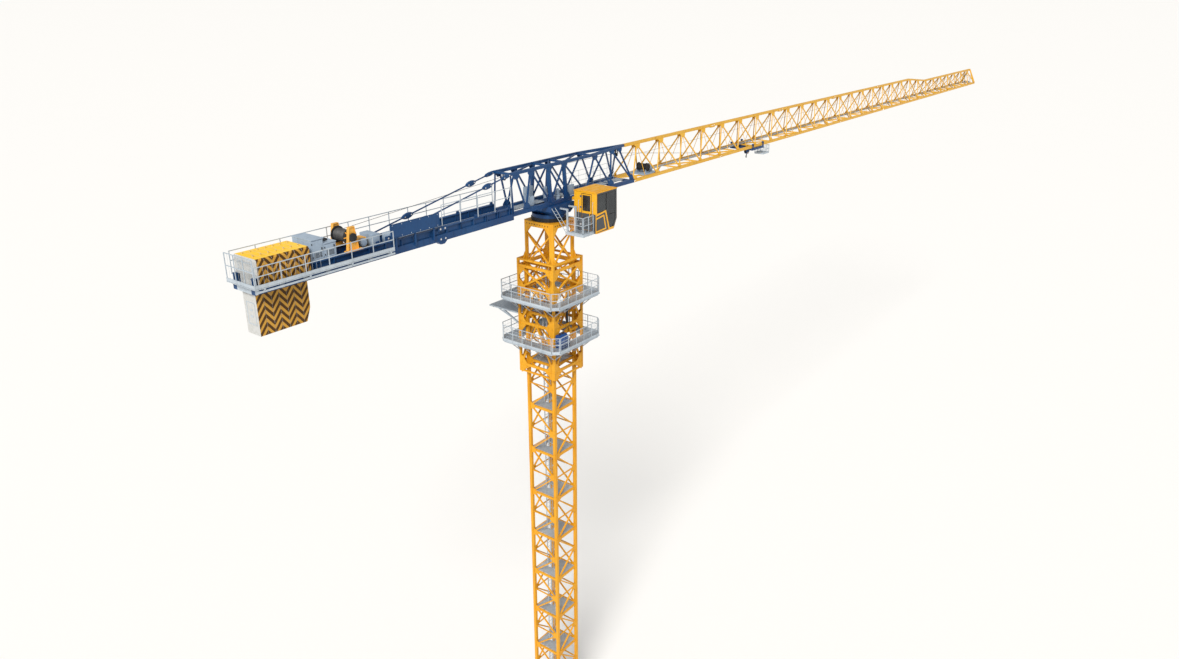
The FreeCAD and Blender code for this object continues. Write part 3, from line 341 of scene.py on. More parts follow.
nodeFinishes = {
    "mastPaint": ("base_frame", "mast_legs", "mast_bracing", "cage_posts", "cage_bracing", "cage_shoulders",
                  "climbing_rod", "slewing_support", "support_bracing"),
    "jibPaint": ("jib_top_chord", "jib_bottom_chords", "jib_side_near", "jib_side_far", "jib_floor",
                 "jib_end_frame"),
    "navyPaint": ("turntable", "frame_chords", "frame_floor", "head_chords", "head_side_near",
                  "head_side_far",
                  "counter_girders", "tie_bars", "sign_board", "trolley_frame", "hook_block"),
    "zinc": ("mast_ladder", "cage_railings", "counter_railings", "cab_railing", "trolley_basket"),
    "openGrating": ("mast_landings",),
    "deckGrating": ("cage_platforms", "section_carrier", "counter_walkways", "cab_platform",
                    "counter_deck"),
    "cabPaint": ("cab_shell", "cab_door"),
    "cabGlass": ("cab_glazing",),
    "cabinetPaint": ("cabinets", "trolley_winch"),
    "winchPaint": ("hoist_winch",),
    "pumpPaint": ("pump_unit",),
    "darkSteel": ("climbing_barrel", "hoist_drum", "hook", "slewing_ring"),
    "ballastPaint": ("ballast_slabs",),
    "ropeWire": ("hoist_falls",),
    "rubber": ("power_cable",),
}
for finish, names in nodeFinishes.items():
    for name in names:
        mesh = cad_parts[name].data
        mesh.materials.clear()
        mesh.materials.append(materials[finish])
print("materials built:", len(materials))


stageSettings = {"floorHalf": 3000.0, "floorColour": (0.86, 0.86, 0.855), "world": 0.45, "backdrop": 1.0,
                 "sun": 3.6,
                 "sunAngle": 22, "sunFrom": (-0.80, -0.42, 0.75), "lens": 26.75,
                 "place": (-3.4453, -2.8732, 1.0304),
                 "heading": 37.13, "tilt": 21.258}


def buildStage():
    half = stageSettings["floorHalf"]
    mesh = bpy.data.meshes.new("floor")
    mesh.from_pydata([(-half, -half, 0), (half, -half, 0), (half, half, 0), (-half, half, 0)], [],
                     [(0, 1, 2, 3)])
    floor = bpy.data.objects.new("floor", mesh)
    bpy.context.scene.collection.objects.link(floor)
    material = bpy.data.materials.new("floorPaper")
    material.use_nodes = True
    tree = material.node_tree
    coords = addNode(tree, "ShaderNodeTexCoord")
    cloud = noiseOf(tree, coords.outputs["Object"], 0.6, 2.0)
    pale = (*stageSettings["floorColour"], 1)
    tree.links.new(mixColour(tree, mathNode(tree, "MULTIPLY", cloud, 0.15), pale, (0.89, 0.89, 0.89, 1)),
                   tree.nodes["Principled BSDF"].inputs["Base Color"])
    tree.nodes["Principled BSDF"].inputs["Roughness"].default_value = 0.9
    mesh.materials.append(material)


def buildLight():
    world = bpy.data.worlds.new("studio")
    world.use_nodes = True
    tree = world.node_tree
    sky = tree.nodes["Background"]
    sky.inputs[0].default_value = (1, 1, 1, 1)
    sky.inputs[1].default_value = stageSettings["world"]
    backdrop = addNode(tree, "ShaderNodeBackground")
    backdrop.inputs[0].default_value = (1.0, 1.0, 0.99, 1)
    backdrop.inputs[1].default_value = stageSettings["backdrop"]
    choose = addNode(tree, "ShaderNodeMixShader")
    tree.links.new(addNode(tree, "ShaderNodeLightPath").outputs["Is Camera Ray"], choose.inputs[0])
    tree.links.new(sky.outputs[0], choose.inputs[1])
    tree.links.new(backdrop.outputs[0], choose.inputs[2])
    tree.links.new(choose.outputs[0], tree.nodes["World Output"].inputs[0])
    bpy.context.scene.world = world
    sun = bpy.data.lights.new("key", "SUN")
    sun.energy = stageSettings["sun"]
    sun.angle = math.radians(stageSettings["sunAngle"])
    sun.color = (1.0, 0.97, 0.92)
    lamp = bpy.data.objects.new("key", sun)
    lamp.rotation_euler = Vector(stageSettings["sunFrom"]).to_track_quat("Z", "Y").to_euler()
    bpy.context.scene.collection.objects.link(lamp)


def buildCamera():
    camera = bpy.data.cameras.new("camera")
    camera.lens = stageSettings["lens"]
    camera.sensor_width = 36.0
    camera.clip_end = 10000.0
    eye = bpy.data.objects.new("camera", camera)
    x, y, z = stageSettings["place"]
    eye.location = (x, y, jibLevel + z)
    eye.rotation_euler = (math.radians(90 - stageSettings["tilt"]), 0,
                          math.radians(stageSettings["heading"] - 90))
    bpy.context.scene.collection.objects.link(eye)
    bpy.context.scene.camera = eye


buildStage()
buildLight()
buildCamera()
bpy.context.scene.view_settings.view_transform = "Standard"
print("stage, light and camera set")


def addPrism(mesh, outline, push):
    lower = [mesh.verts.new(point) for point in outline]
    upper = [mesh.verts.new(Vector(point) + Vector(push)) for point in outline]
    mesh.faces.new(lower)
    mesh.faces.new(list(reversed(upper)))
    count = len(outline)
    for i in range(count):
        mesh.faces.new((lower[i], upper[i], upper[(i + 1) % count], lower[(i + 1) % count]))


def addBox(mesh, low, high):
    x0, y0, z0 = low
    x1, y1, z1 = high
    addPrism(mesh, [(x0, y0, z0), (x1, y0, z0), (x1, y1, z0), (x0, y1, z0)], (0, 0, z1 - z0))


def jibBox(mesh, x0, x1, y0, y1, z0, z1):
    addBox(mesh, overJib(x0, y0, z0), overJib(x1, y1, z1))


def addBar(mesh, start, end, width, depth, facing=(0, 1, 0)):
    start, end = Vector(start), Vector(end)
    along = end - start
    across = along.cross(Vector(facing)).normalized()
    out = across.cross(along).normalized()
    outline = [start + across * (a * width / 2) + out * (b * depth / 2)
               for a, b in ((-1, -1), (1, -1), (1, 1), (-1, 1))]
    addPrism(mesh, outline, along)


# profile is (radius, distance along the axis) points of a closed solid, from end to end
def addLathe(mesh, centre, axis, profile, sides=24):
    centre, axis = Vector(centre), Vector(axis).normalized()
    turn = axis.to_track_quat("Z", "Y")
    rings = []
    for radius, along in profile:
        ring = []
        for i in range(sides):
            angle = 2 * math.pi * i / sides
            point = turn @ Vector((math.cos(angle) * radius, math.sin(angle) * radius, along))
            ring.append(mesh.verts.new(centre + point))
        rings.append(ring)
    for lower, upper in zip(rings, rings[1:]):
        for i in range(sides):
            mesh.faces.new((lower[i], lower[(i + 1) % sides], upper[(i + 1) % sides], upper[i]))
    mesh.faces.new(list(reversed(rings[0])))
    mesh.faces.new(rings[-1])


def addTube(mesh, start, end, radius, sides=10):
    start, end = Vector(start), Vector(end)
    addLathe(mesh, start, end - start, [(radius, 0), (radius, (end - start).length)], sides)


# a bar and a rod, in millimetres over the jib's level
def jibBar(mesh, start, end, width, depth, *facing):
    addBar(mesh, overJib(*start), overJib(*end), width * mm, depth * mm, *facing)


def jibTube(mesh, start, end, radius, *sides):
    addTube(mesh, overJib(*start), overJib(*end), radius * mm, *sides)


# points of an ellipse in the X-Z plane, leaning down along +X by a slope
def ellipse(centre, halfLong, halfWide, slope, count=20):
    lean = math.atan(slope)
    points = []
    for i in range(count):
        angle = 2 * math.pi * i / count
        a, b = math.cos(angle) * halfLong, math.sin(angle) * halfWide
        points.append(Vector(centre) + Vector((a * math.cos(lean) - b * math.sin(lean), 0,
                                               a * math.sin(lean) + b * math.cos(lean))))
    return points


def finishMesh(name, mesh, finish, bevel=0.0, smooth=False):
    bmesh.ops.recalc_face_normals(mesh, faces=mesh.faces)
    if bevel:
        sharp = [e for e in mesh.edges if len(e.link_faces) == 2 and e.calc_face_angle(0) > 0.5]
        bmesh.ops.bevel(mesh, geom=sharp, offset=bevel, segments=2, profile=0.6, affect="EDGES")
    data = bpy.data.meshes.new(name)
    mesh.to_mesh(data)
    mesh.free()
    data.materials.append(materials[finish])
    piece = bpy.data.objects.new(name, data)
    bpy.context.scene.collection.objects.link(piece)
    if smooth:
        for face in data.polygons:
            face.use_smooth = True
        data.set_sharp_from_angle(angle=math.radians(35))
    return piece


def mount(piece, body):
    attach(piece, body)
    return piece


# turns a mesh into a piece that rides on a body
def fit(name, mesh, look, body="upperworks", bevel=0.0, smooth=False):
    return mount(finishMesh(name, mesh, look, bevel, smooth), body)


# repeats everything in the mesh on the other side of the crane's centre plane
def bothSides(mesh):
    copy = bmesh.ops.duplicate(mesh, geom=mesh.verts[:] + mesh.edges[:] + mesh.faces[:])
    moved = [item for item in copy["geom"] if isinstance(item, bmesh.types.BMVert)]
    bmesh.ops.scale(mesh, vec=(1, -1, 1), verts=moved)


# places a part on every point, turned by each point's own turn
def repeatTree():
    tree, enter, leave = newGroup(
        "repeatPart", "GeometryNodeTree",
        [("Geometry", "NodeSocketGeometry", None), ("Part", "NodeSocketObject", None),
         ("Size", "NodeSocketFloat", 1.0), ("Unevenness", "NodeSocketFloat", 0.0),
         ("Seed", "NodeSocketInt", 1), ("Finish", "NodeSocketMaterial", None)],
        [("Geometry", "NodeSocketGeometry")])
    part = addNode(tree, "GeometryNodeObjectInfo")
    turn = addNode(tree, "GeometryNodeInputNamedAttribute", data_type="FLOAT_VECTOR")
    turn.inputs["Name"].default_value = "turn"
    rotation = addNode(tree, "FunctionNodeEulerToRotation")
    vary = addNode(tree, "FunctionNodeRandomValue", data_type="FLOAT")
    spread = mathNode(tree, "SUBTRACT", enter.outputs["Size"], enter.outputs["Unevenness"])
    place = addNode(tree, "GeometryNodeInstanceOnPoints")
    real = addNode(tree, "GeometryNodeRealizeInstances")
    paint = addNode(tree, "GeometryNodeSetMaterial")
    links = tree.links
    links.new(enter.outputs["Part"], part.inputs["Object"])
    links.new(turn.outputs["Attribute"], rotation.inputs[0])
    links.new(spread, vary.inputs[2])
    links.new(enter.outputs["Size"], vary.inputs[3])
    links.new(enter.outputs["Seed"], vary.inputs["Seed"])
    links.new(enter.outputs["Geometry"], place.inputs["Points"])
    links.new(part.outputs["Geometry"], place.inputs["Instance"])
    links.new(rotation.outputs[0], place.inputs["Rotation"])
    links.new(vary.outputs[1], place.inputs["Scale"])
    links.new(place.outputs[0], real.inputs[0])
    links.new(real.outputs[0], paint.inputs["Geometry"])
    links.new(enter.outputs["Finish"], paint.inputs["Material"])
    links.new(paint.outputs[0], leave.inputs[0])
    return tree


# makes a round wire along every edge
def wireTree():
    tree, enter, leave = newGroup(
        "wireAlong", "GeometryNodeTree",
        [("Geometry", "NodeSocketGeometry", None), ("Radius", "NodeSocketFloat", 0.001),
         ("Sides", "NodeSocketInt", 6), ("Finish", "NodeSocketMaterial", None)],
        [("Geometry", "NodeSocketGeometry")])
    path = addNode(tree, "GeometryNodeMeshToCurve")
    section = addNode(tree, "GeometryNodeCurvePrimitiveCircle", mode="RADIUS")
    sweep = addNode(tree, "GeometryNodeCurveToMesh")
    real = addNode(tree, "GeometryNodeRealizeInstances")
    paint = addNode(tree, "GeometryNodeSetMaterial")
    links = tree.links
    links.new(enter.outputs["Geometry"], path.inputs["Mesh"])
    links.new(enter.outputs["Sides"], section.inputs["Resolution"])
    links.new(enter.outputs["Radius"], section.inputs["Radius"])
    links.new(path.outputs[0], sweep.inputs["Curve"])
    links.new(section.outputs[0], sweep.inputs["Profile Curve"])
    sweep.inputs["Fill Caps"].default_value = True
    links.new(sweep.outputs[0], real.inputs[0])
    links.new(real.outputs[0], paint.inputs["Geometry"])
    links.new(enter.outputs["Finish"], paint.inputs["Material"])
    links.new(paint.outputs[0], leave.inputs[0])
    return tree


trees = {"repeat": repeatTree(), "wire": wireTree()}


def runTree(name, tree, base, values):
    holder = bpy.data.objects.new(name + "Base", base)
    bpy.context.scene.collection.objects.link(holder)
    modifier = holder.modifiers.new("make", "NODES")
    modifier.node_group = tree
    for item in tree.interface.items_tree:
        if item.item_type == "SOCKET" and item.in_out == "INPUT" and item.name in values:
            modifier[item.identifier] = values[item.name]
    graph = bpy.context.evaluated_depsgraph_get()
    data = bpy.data.meshes.new_from_object(holder.evaluated_get(graph))
    holder.modifiers.clear()
    bpy.data.objects.remove(holder)
    piece = bpy.data.objects.new(name, data)
    bpy.context.scene.collection.objects.link(piece)
    return piece


# places is a list of (position, turn); the part is a piece that is used up
def repeatPart(name, part, places, finish, body, uneven=0.0, seed=1):
    base = bpy.data.meshes.new(name + "Points")
    base.from_pydata([position for position, turn in places], [], [])
    turns = base.attributes.new("turn", "FLOAT_VECTOR", "POINT")
    for item, (position, turn) in zip(turns.data, places):
        item.vector = turn
    piece = runTree(name, trees["repeat"], base,
                    {"Part": part, "Size": 1.0, "Unevenness": uneven, "Seed": seed,
                     "Finish": materials[finish]})
    bpy.data.objects.remove(part)
    return mount(piece, body)


# lines is a list of point lists; each becomes one wire
def wires(name, lines, radius, finish, body, sides=6):
    points, edges = [], []
    for line in lines:
        start = len(points)
        points += [tuple(point) for point in line]
        edges += [(start + i, start + i + 1) for i in range(len(line) - 1)]
    base = bpy.data.meshes.new(name + "Lines")
    base.from_pydata(points, edges, [])
    piece = runTree(name, trees["wire"], base,
                    {"Radius": radius, "Sides": sides, "Finish": materials[finish]})
    return mount(piece, body)


# the same place on each of the mast's four sides
def aroundMast(position, turn=(0, 0, 0)):
    for side in range(4):
        spin = Matrix.Rotation(side * math.pi / 2, 3, "Z")
        yield spin @ Vector(position), (turn[0], turn[1], turn[2] + side * math.pi / 2)


# one hexagon head with a washer, standing on its origin along +Z
def boltShape(radius, height):
    mesh = bmesh.new()
    addLathe(mesh, (0, 0, 0), up, [(radius * 1.5, 0), (radius * 1.5, height * 0.25)], 12)
    addLathe(mesh, (0, 0, height * 0.2), up,
             [(radius, 0), (radius, height * 0.75), (radius * 0.8, height * 0.8)], 6)
    return finishMesh("bolt", mesh, "brightSteel")


def spaced(start, end, pitch):
    count = max(1, round(abs(end - start) / pitch))
    return [start + (end - start) * i / count for i in range(count + 1)]


print("shape tools ready")


mastSettings = {"sections": 11, "gussetLong": 36 * mm, "gussetHigh": 46 * mm, "gussetThick": 2.2 * mm,
                "fishplate": 44 * mm, "boltRadius": 1.5 * mm, "clampPitch": 140 * mm}
mastLow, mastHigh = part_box("mast_legs")
mastHalf = mastHigh.x
legWide = 17 * mm
sectionHigh = (mastHigh.z - mastLow.z) / mastSettings["sections"]
bracingPlane = mastHalf - legWide / 2


def buildMastGussets():
    deep, high, thick = (mastSettings[key] for key in ("gussetLong", "gussetHigh", "gussetThick"))
    mesh = bmesh.new()
    outline = [(0, high / 2), (0, -high / 2), (deep * 0.55, -high * 0.36), (deep, -high * 0.08),
               (deep, high * 0.08), (deep * 0.55, high * 0.36)]
    addPrism(mesh, [(x, -thick / 2, z) for x, z in outline], (0, thick, 0))
    plate = finishMesh("mastGusset", mesh, "mastPaint", bevel=0.4 * mm)
    inner, face = mastHalf - legWide, -(bracingPlane + 4.8 * mm)
    places = []
    for section in range(mastSettings["sections"] + 1):
        joint = mastLow.z + section * sectionHigh
        joint = min(max(joint, mastLow.z + high / 2), mastHigh.z - high / 2)
        places += aroundMast((-inner, face, joint))
        if section < mastSettings["sections"]:
            places += aroundMast((inner, face, mastLow.z + (section + 0.5) * sectionHigh), (0, math.pi, 0))
    repeatPart("mastGussets", plate, places, "mastPaint", "mast")


# fishplates with bolts on the two outer faces of each leg, at every section joint
def buildMastSplices():
    high, bolt = mastSettings["fishplate"], mastSettings["boltRadius"]
    mesh = bmesh.new()
    reach, plate = legWide / 2, 1.2 * mm
    addBox(mesh, (-reach * 0.8, -reach - plate, -high / 2), (reach * 0.8, -reach, high / 2))
    addBox(mesh, (-reach - plate, -reach * 0.8, -high / 2), (-reach, reach * 0.8, high / 2))
    for z in (-0.36, -0.14, 0.14, 0.36):
        addLathe(mesh, (0, -reach - plate, z * high), (0, -1, 0), [(bolt * 1.3, 0), (bolt, bolt * 0.9)], 6)
        addLathe(mesh, (-reach - plate, 0, z * high), (-1, 0, 0), [(bolt * 1.3, 0), (bolt, bolt * 0.9)], 6)
    splice = finishMesh("mastSplice", mesh, "mastPaint")
    places = []
    for section in range(1, mastSettings["sections"]):
        places += aroundMast((-bracingPlane, -bracingPlane, mastLow.z + section * sectionHigh))
    repeatPart("mastSplices", splice, places, "mastPaint", "mast")


# clamps on the power cable, anchor nuts and triangular ribs at the mast's foot
def buildMastFittings():
    clamp = {"half": 4.5 * mm, "halfHigh": 3 * mm, "armEnd": 9 * mm, "armHalf": 1.5 * mm, "armHigh": 2.5 * mm,
             "margin": 50 * mm}
    anchor = {"radius": 5.5 * mm, "height": 7 * mm, "inset": 17 * mm}
    rib = {"long": 28 * mm, "tall": 60 * mm, "thick": 3 * mm, "inset": 4 * mm}
    cableLow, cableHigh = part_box("power_cable")
    x, y = (cableLow.x + cableHigh.x) / 2, (cableLow.y + cableHigh.y) / 2
    half, tall = clamp["half"], clamp["halfHigh"]
    mesh = bmesh.new()
    addBox(mesh, (-half, -half, -tall), (half, half, tall))
    addBox(mesh, (-clamp["armEnd"], -clamp["armHalf"], -clamp["armHigh"]),
           (-half, clamp["armHalf"], clamp["armHigh"]))
    part = finishMesh("cableClamp", mesh, "zinc", bevel=0.5 * mm)
    levels = spaced(cableLow.z + clamp["margin"], cableHigh.z - clamp["margin"], mastSettings["clampPitch"])
    places = [((x, y, z), (0, 0, 0)) for z in levels]
    repeatPart("cableClamps", part, places, "zinc", "mast")
    base = highOf("base_frame")
    place = base.x - anchor["inset"]
    anchors = list(aroundMast((place, place, base.z)))
    nut = boltShape(anchor["radius"], anchor["height"])
    repeatPart("anchorNuts", nut, anchors, "brightSteel", "mast")
    back = -rib["thick"] / 2
    mesh = bmesh.new()
    addPrism(mesh, [(0, back, 0), (rib["long"], back, 0), (0, back, rib["tall"])], (0, rib["thick"], 0))
    part = finishMesh("footRib", mesh, "mastPaint", bevel=0.4 * mm)
    ribs = []
    for offset in (rib["inset"], legWide - rib["inset"]):
        ribs += aroundMast((mastHalf, mastHalf - offset, base.z))
        ribs += aroundMast((mastHalf - offset, mastHalf, base.z), (0, 0, math.pi / 2))
    repeatPart("footRibs", part, ribs, "mastPaint", "mast")


# safety hoops round the ladder, with three straps down their backs
def buildLadderHoops():
    low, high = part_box("mast_ladder")
    hoop = {"deep": 27 * mm, "halfWide": 17.5 * mm, "pitch": 47 * mm, "wire": 0.8 * mm, "start": 80 * mm,
            "end": 20 * mm, "stand": 1 * mm, "points": 11, "straps": (2, 5, 8)}
    centreY = low.y - hoop["stand"]
    lines, backs = [], [[] for strap in hoop["straps"]]
    for z in spaced(low.z + hoop["start"], high.z - hoop["end"], hoop["pitch"]):
        arc = []
        for i in range(hoop["points"]):
            angle = math.pi * i / (hoop["points"] - 1)
            arc.append((math.cos(angle) * hoop["halfWide"], centreY - math.sin(angle) * hoop["deep"], z))
        lines.append(arc)
        for back, index in zip(backs, hoop["straps"]):
            back.append(arc[index])
    wires("ladderHoops", lines + backs, hoop["wire"], "zinc", "mast", 5)


buildMastGussets()
buildMastSplices()
buildMastFittings()
buildLadderHoops()
print("mast detailed")


cageSettings = {"gusset": 44 * mm, "gussetThick": 2.2 * mm, "levels": (45, 290, 485, 610), "beam": 15 * mm}
cageLow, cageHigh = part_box("cage_posts")
cageHalf = cageHigh.x
postWide = 12 * mm
decks = [lowOf("cage_platforms").z + 4 * mm, highOf("cage_platforms").z]
deckHalf = highOf("cage_platforms").x


def buildCageGussets():
    size, thick = cageSettings["gusset"], cageSettings["gussetThick"]
    mesh = bmesh.new()
    addPrism(mesh, [(0, -thick / 2, 0), (size, -thick / 2, 0), (size * 0.25, -thick / 2, size * 0.9),
                    (0, -thick / 2, size)], (0, thick, 0))
    plate = finishMesh("cageGusset", mesh, "mastPaint", bevel=0.4 * mm)
    inner, face = cageHalf - postWide, -(cageHalf - postWide / 2 + 4.6 * mm)
    places = []
    for level in cageSettings["levels"]:
        above = cageLow.z + level * mm + cageSettings["beam"] / 2
        below = above - cageSettings["beam"]
        if above + size < cageHigh.z:
            places += aroundMast((-inner, face, above))
            places += aroundMast((inner, face, above), (0, 0, math.pi))
        places += aroundMast((-inner, face, below), (math.pi, 0, 0))
        places += aroundMast((inner, face, below), (0, math.pi, 0))
    repeatPart("cageGussets", plate, places, "mastPaint", "cage")


# guide rollers that run on the mast's legs, each between two cheeks
def buildCageRollers():
    roller = {"radius": 6 * mm, "edge": 1 * mm, "halfWide": 5 * mm, "cheeks": (-7.5 * mm, 6 * mm),
              "cheekThick": 1.5 * mm, "cheekBack": 14 * mm, "cheekFront": 2 * mm, "gap": 1 * mm,
              "drop": 245 * mm}
    radius, edge, half = roller["radius"], roller["edge"], roller["halfWide"]
    mesh = bmesh.new()
    profile = [(radius * 0.7, 0), (radius, edge), (radius, 2 * half - edge), (radius * 0.7, 2 * half)]
    addLathe(mesh, (-half, 0, 0), (1, 0, 0), profile, 20)
    for x in roller["cheeks"]:
        addBox(mesh, (x, -roller["cheekBack"], -half), (x + roller["cheekThick"], roller["cheekFront"], half))
    part = finishMesh("cageRoller", mesh, "darkSteel")
    y = -(mastHalf + radius + roller["gap"])
    places = []
    for x in (-bracingPlane, bracingPlane):
        places += aroundMast((x, y, mastHigh.z - roller["drop"]))
    repeatPart("cageRollers", part, places, "darkSteel", "cage")


# knee braces below both platforms
def buildPlatformBraces():
    brace = {"wide": 4 * mm, "drop": 70 * mm, "rise": 6 * mm, "edge": 8 * mm, "inner": 40 * mm,
             "outer": 6 * mm,
             "beamEnd": 30 * mm, "beamDrop": 8 * mm, "beamDeep": 3 * mm}
    edge = deckHalf - brace["edge"]
    mesh = bmesh.new()
    for side in range(4):
        spin = Matrix.Rotation(side * math.pi / 2, 3, "Z")
        for deck in decks:
            for x in (-cageHalf + brace["outer"], -brace["inner"], brace["inner"], cageHalf - brace["outer"]):
                addBar(mesh, spin @ Vector((x, -cageHalf, deck - brace["drop"])),
                       spin @ Vector((x, -edge, deck - brace["rise"])), brace["wide"], brace["wide"],
                       spin @ Vector((1, 0, 0)))
            end, z = edge - brace["beamEnd"], deck - brace["beamDrop"]
            addBar(mesh, spin @ Vector((-end, -edge, z)), spin @ Vector((end, -edge, z)), brace["edge"],
                   brace["beamDeep"])
    fit("platformBraces", mesh, "zinc", "cage", bevel=0.4 * mm)


# wire infill in both platforms' railings
def buildPlatformWires():
    infill = {"railInset": 3 * mm, "corner": 34 * mm, "bottom": 11 * mm, "top": 86 * mm,
              "levels": (30 * mm, 66 * mm), "pitch": 12 * mm, "wire": 0.45 * mm}
    rail = deckHalf - infill["railInset"]
    near = rail - infill["corner"]
    lines = []
    for side in range(4):
        spin = Matrix.Rotation(side * math.pi / 2, 3, "Z")
        for deck in decks:
            for start, end in (((-near, -rail), (near, -rail)), ((near, -rail), (rail, -near))):
                count = max(2, round(math.dist(start, end) / infill["pitch"]))
                for i in range(1, count):
                    x = start[0] + (end[0] - start[0]) * i / count
                    y = start[1] + (end[1] - start[1]) * i / count
                    lines.append([spin @ Vector((x, y, deck + infill["bottom"])),
                                  spin @ Vector((x, y, deck + infill["top"]))])
                for height in infill["levels"]:
                    lines.append([spin @ Vector((*start, deck + height)),
                                  spin @ Vector((*end, deck + height))])
    wires("platformWires", lines, infill["wire"], "zinc", "cage", 4)


# the blue pump with light bands, a lid, a gauge and pipes to the climbing cylinder
def buildPump():
    pump = {"taper": 1.8 * mm, "frontShare": 0.6, "lid": 4 * mm, "bands": (0.28, 0.56), "bandHigh": 2.4 * mm,
            "pipe": 1.5 * mm, "pipeStand": 3.5 * mm}
    low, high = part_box("pump_unit")
    deep, tall = high.y - low.y, high.z - low.z
    mesh = bmesh.new()
    front = [(low.y, low.z), (low.y, low.z + tall * pump["frontShare"]),
             (low.y + deep * 0.5, high.z - pump["lid"]),
             (high.y, high.z - pump["lid"]), (high.y, low.z)]
    addPrism(mesh, [(low.x + pump["taper"], y, z) for y, z in front],
             (high.x - low.x - pump["taper"] * 2, 0, 0))
    body = fit("pumpBody", mesh, "pumpPaint", "cage", bevel=2.5 * mm, smooth=True)
    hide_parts("pump_unit")
    mesh = bmesh.new()
    for share in pump["bands"]:
        z = low.z + tall * share
        top = z + pump["bandHigh"]
        addBox(mesh, (low.x + 1.4 * mm, low.y - 0.7 * mm, z), (high.x - 1.4 * mm, low.y + 4 * mm, top))
        addBox(mesh, (low.x + 0.4 * mm, low.y - 0.2 * mm, z), (low.x + 3 * mm, high.y - 3 * mm, top))
    fit("pumpBands", mesh, "zinc", "cage", bevel=0.4 * mm)
    mesh = bmesh.new()
    centre = Vector((low.x + 22 * mm, high.y - 14 * mm, high.z - 5 * mm))
    addLathe(mesh, centre, up, [(6 * mm, 0), (6 * mm, 4 * mm), (5 * mm, 5 * mm)], 16)
    addLathe(mesh, centre + Vector((26 * mm, 0, 0)), up, [(8 * mm, 0), (8 * mm, 5 * mm), (6 * mm, 5 * mm)],
             20)
    gauge = Vector((low.x + 54 * mm, low.y, low.z + 40 * mm))
    addLathe(mesh, gauge, (0, -1, 0), [(5 * mm, -2 * mm), (5 * mm, 2 * mm), (4 * mm, 2.6 * mm)], 18)
    fit("pumpFittings", mesh, "darkSteel", "cage", smooth=True)
    barrelLow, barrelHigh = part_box("climbing_barrel")
    x, outer = (barrelLow.x + barrelHigh.x) / 2, -cageHalf - pump["pipeStand"]
    lines = []
    for shift, end in ((0, barrelLow.z + 30 * mm), (6 * mm, barrelHigh.z - 20 * mm)):
        start = Vector((high.x - 14 * mm - shift, high.y - 10 * mm, high.z - 6 * mm))
        lines.append([start, start + Vector((0, 0, 14 * mm + shift)),
                      Vector((x - shift, outer, start.z + 20 * mm + shift)), Vector((x - shift, outer, end))])
    wires("pumpPipes", lines, pump["pipe"], "rubber", "cage", 8)


# curved haunches in the four sides of the slewing support, and bolts along its top plate
def buildSupportPlates():
    high = highOf("slewing_support")
    support = {"leg": 20 * mm, "plate": 28 * mm, "arc": 42 * mm, "thick": 3 * mm, "steps": 8, "inset": 3 * mm,
               "boltReach": 70 * mm, "boltPitch": 17.5 * mm, "bolt": 2 * mm}
    arc, thick = support["arc"], support["thick"]
    outline = [(0, 0)]
    for i in range(support["steps"] + 1):
        angle = math.pi / 2 * i / support["steps"]
        outline.append((arc * (1 - math.sin(angle)), -arc * (1 - math.cos(angle))))
    mesh = bmesh.new()
    addPrism(mesh, [(x, -thick / 2, z) for x, z in outline], (0, thick, 0))
    haunch = finishMesh("haunch", mesh, "mastPaint")
    inner, face, ceiling = high.x - support["leg"], -(high.x - support["inset"]), high.z - support["plate"]
    places = list(aroundMast((-inner, face, ceiling)))
    places += aroundMast((inner, face, ceiling), (0, 0, math.pi))
    repeatPart("supportHaunches", haunch, places, "mastPaint", "cage")
    bolts = []
    for x in spaced(-support["boltReach"], support["boltReach"], support["boltPitch"]):
        bolts += aroundMast((x, -high.x, high.z - support["plate"] / 2), (math.pi / 2, 0, 0))
    bolt = boltShape(support["bolt"], support["bolt"])
    repeatPart("supportBolts", bolt, bolts, "darkSteel", "cage")


def buildSlewingRing():
    low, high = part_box("slewing_ring")
    ring = {"teeth": 72, "root": 2.2 * mm, "tip": 1.2 * mm, "proud": 2.5 * mm, "sunk": 1 * mm,
            "margin": 3 * mm}
    inner, outer, z = high.x - ring["sunk"], high.x + ring["proud"], low.z + ring["margin"]
    mesh = bmesh.new()
    addPrism(mesh, [(inner, -ring["root"], z), (inner, ring["root"], z), (outer, ring["tip"], z),
                    (outer, -ring["tip"], z)], (0, 0, high.z - low.z - 2 * ring["margin"]))
    tooth = finishMesh("tooth", mesh, "darkSteel")
    places = [((0, 0, 0), (0, 0, 2 * math.pi * i / ring["teeth"])) for i in range(ring["teeth"])]
    repeatPart("ringTeeth", tooth, places, "darkSteel", "cage")


buildCageGussets()
buildCageRollers()
buildPlatformBraces()
buildPlatformWires()
buildPump()
buildSupportPlates()
buildSlewingRing()
print("cage and slewing support detailed")


headSettings = {"feet": (-250, -62, 62, 230, 450, 654), "crowns": (-310, -200, -62, 62, 330, 520, 608),
                "half": 50, "bendX": 300, "rootX": 668, "rearX": -350, "chordLow": 195, "floorTop": 20,
                "footLong": 54, "footTall": 26, "crownLong": 48, "crownTall": 22, "plate": 2}


def footLine(x):
    share = (x - headSettings["rearX"]) / (headSettings["rootX"] - headSettings["rearX"])
    return 62 + 9 * share


def crownLine(x):
    bend, root = headSettings["bendX"], headSettings["rootX"]
    return headSettings["half"] * (1 - max(0.0, (x - bend) / (root - bend)))


# a plate on the outer side of the head frame's near side; outline is (along, share of the height)
def sidePlate(mesh, x, outline, thick):
    low, high = headSettings["floorTop"], headSettings["chordLow"]
    foot = Vector((x, -footLine(x), low))
    crown = Vector((x, -crownLine(x), high))
    slope = (crown - foot).normalized()
    out = Vector((0, -slope.z, slope.y))
    points = []
    for along, rise in outline:
        start = foot if rise >= 0 else crown
        points.append(overJib(*(start + Vector((along, 0, 0)) + slope * rise + out * 4)))
    addPrism(mesh, points, out * (thick * mm))


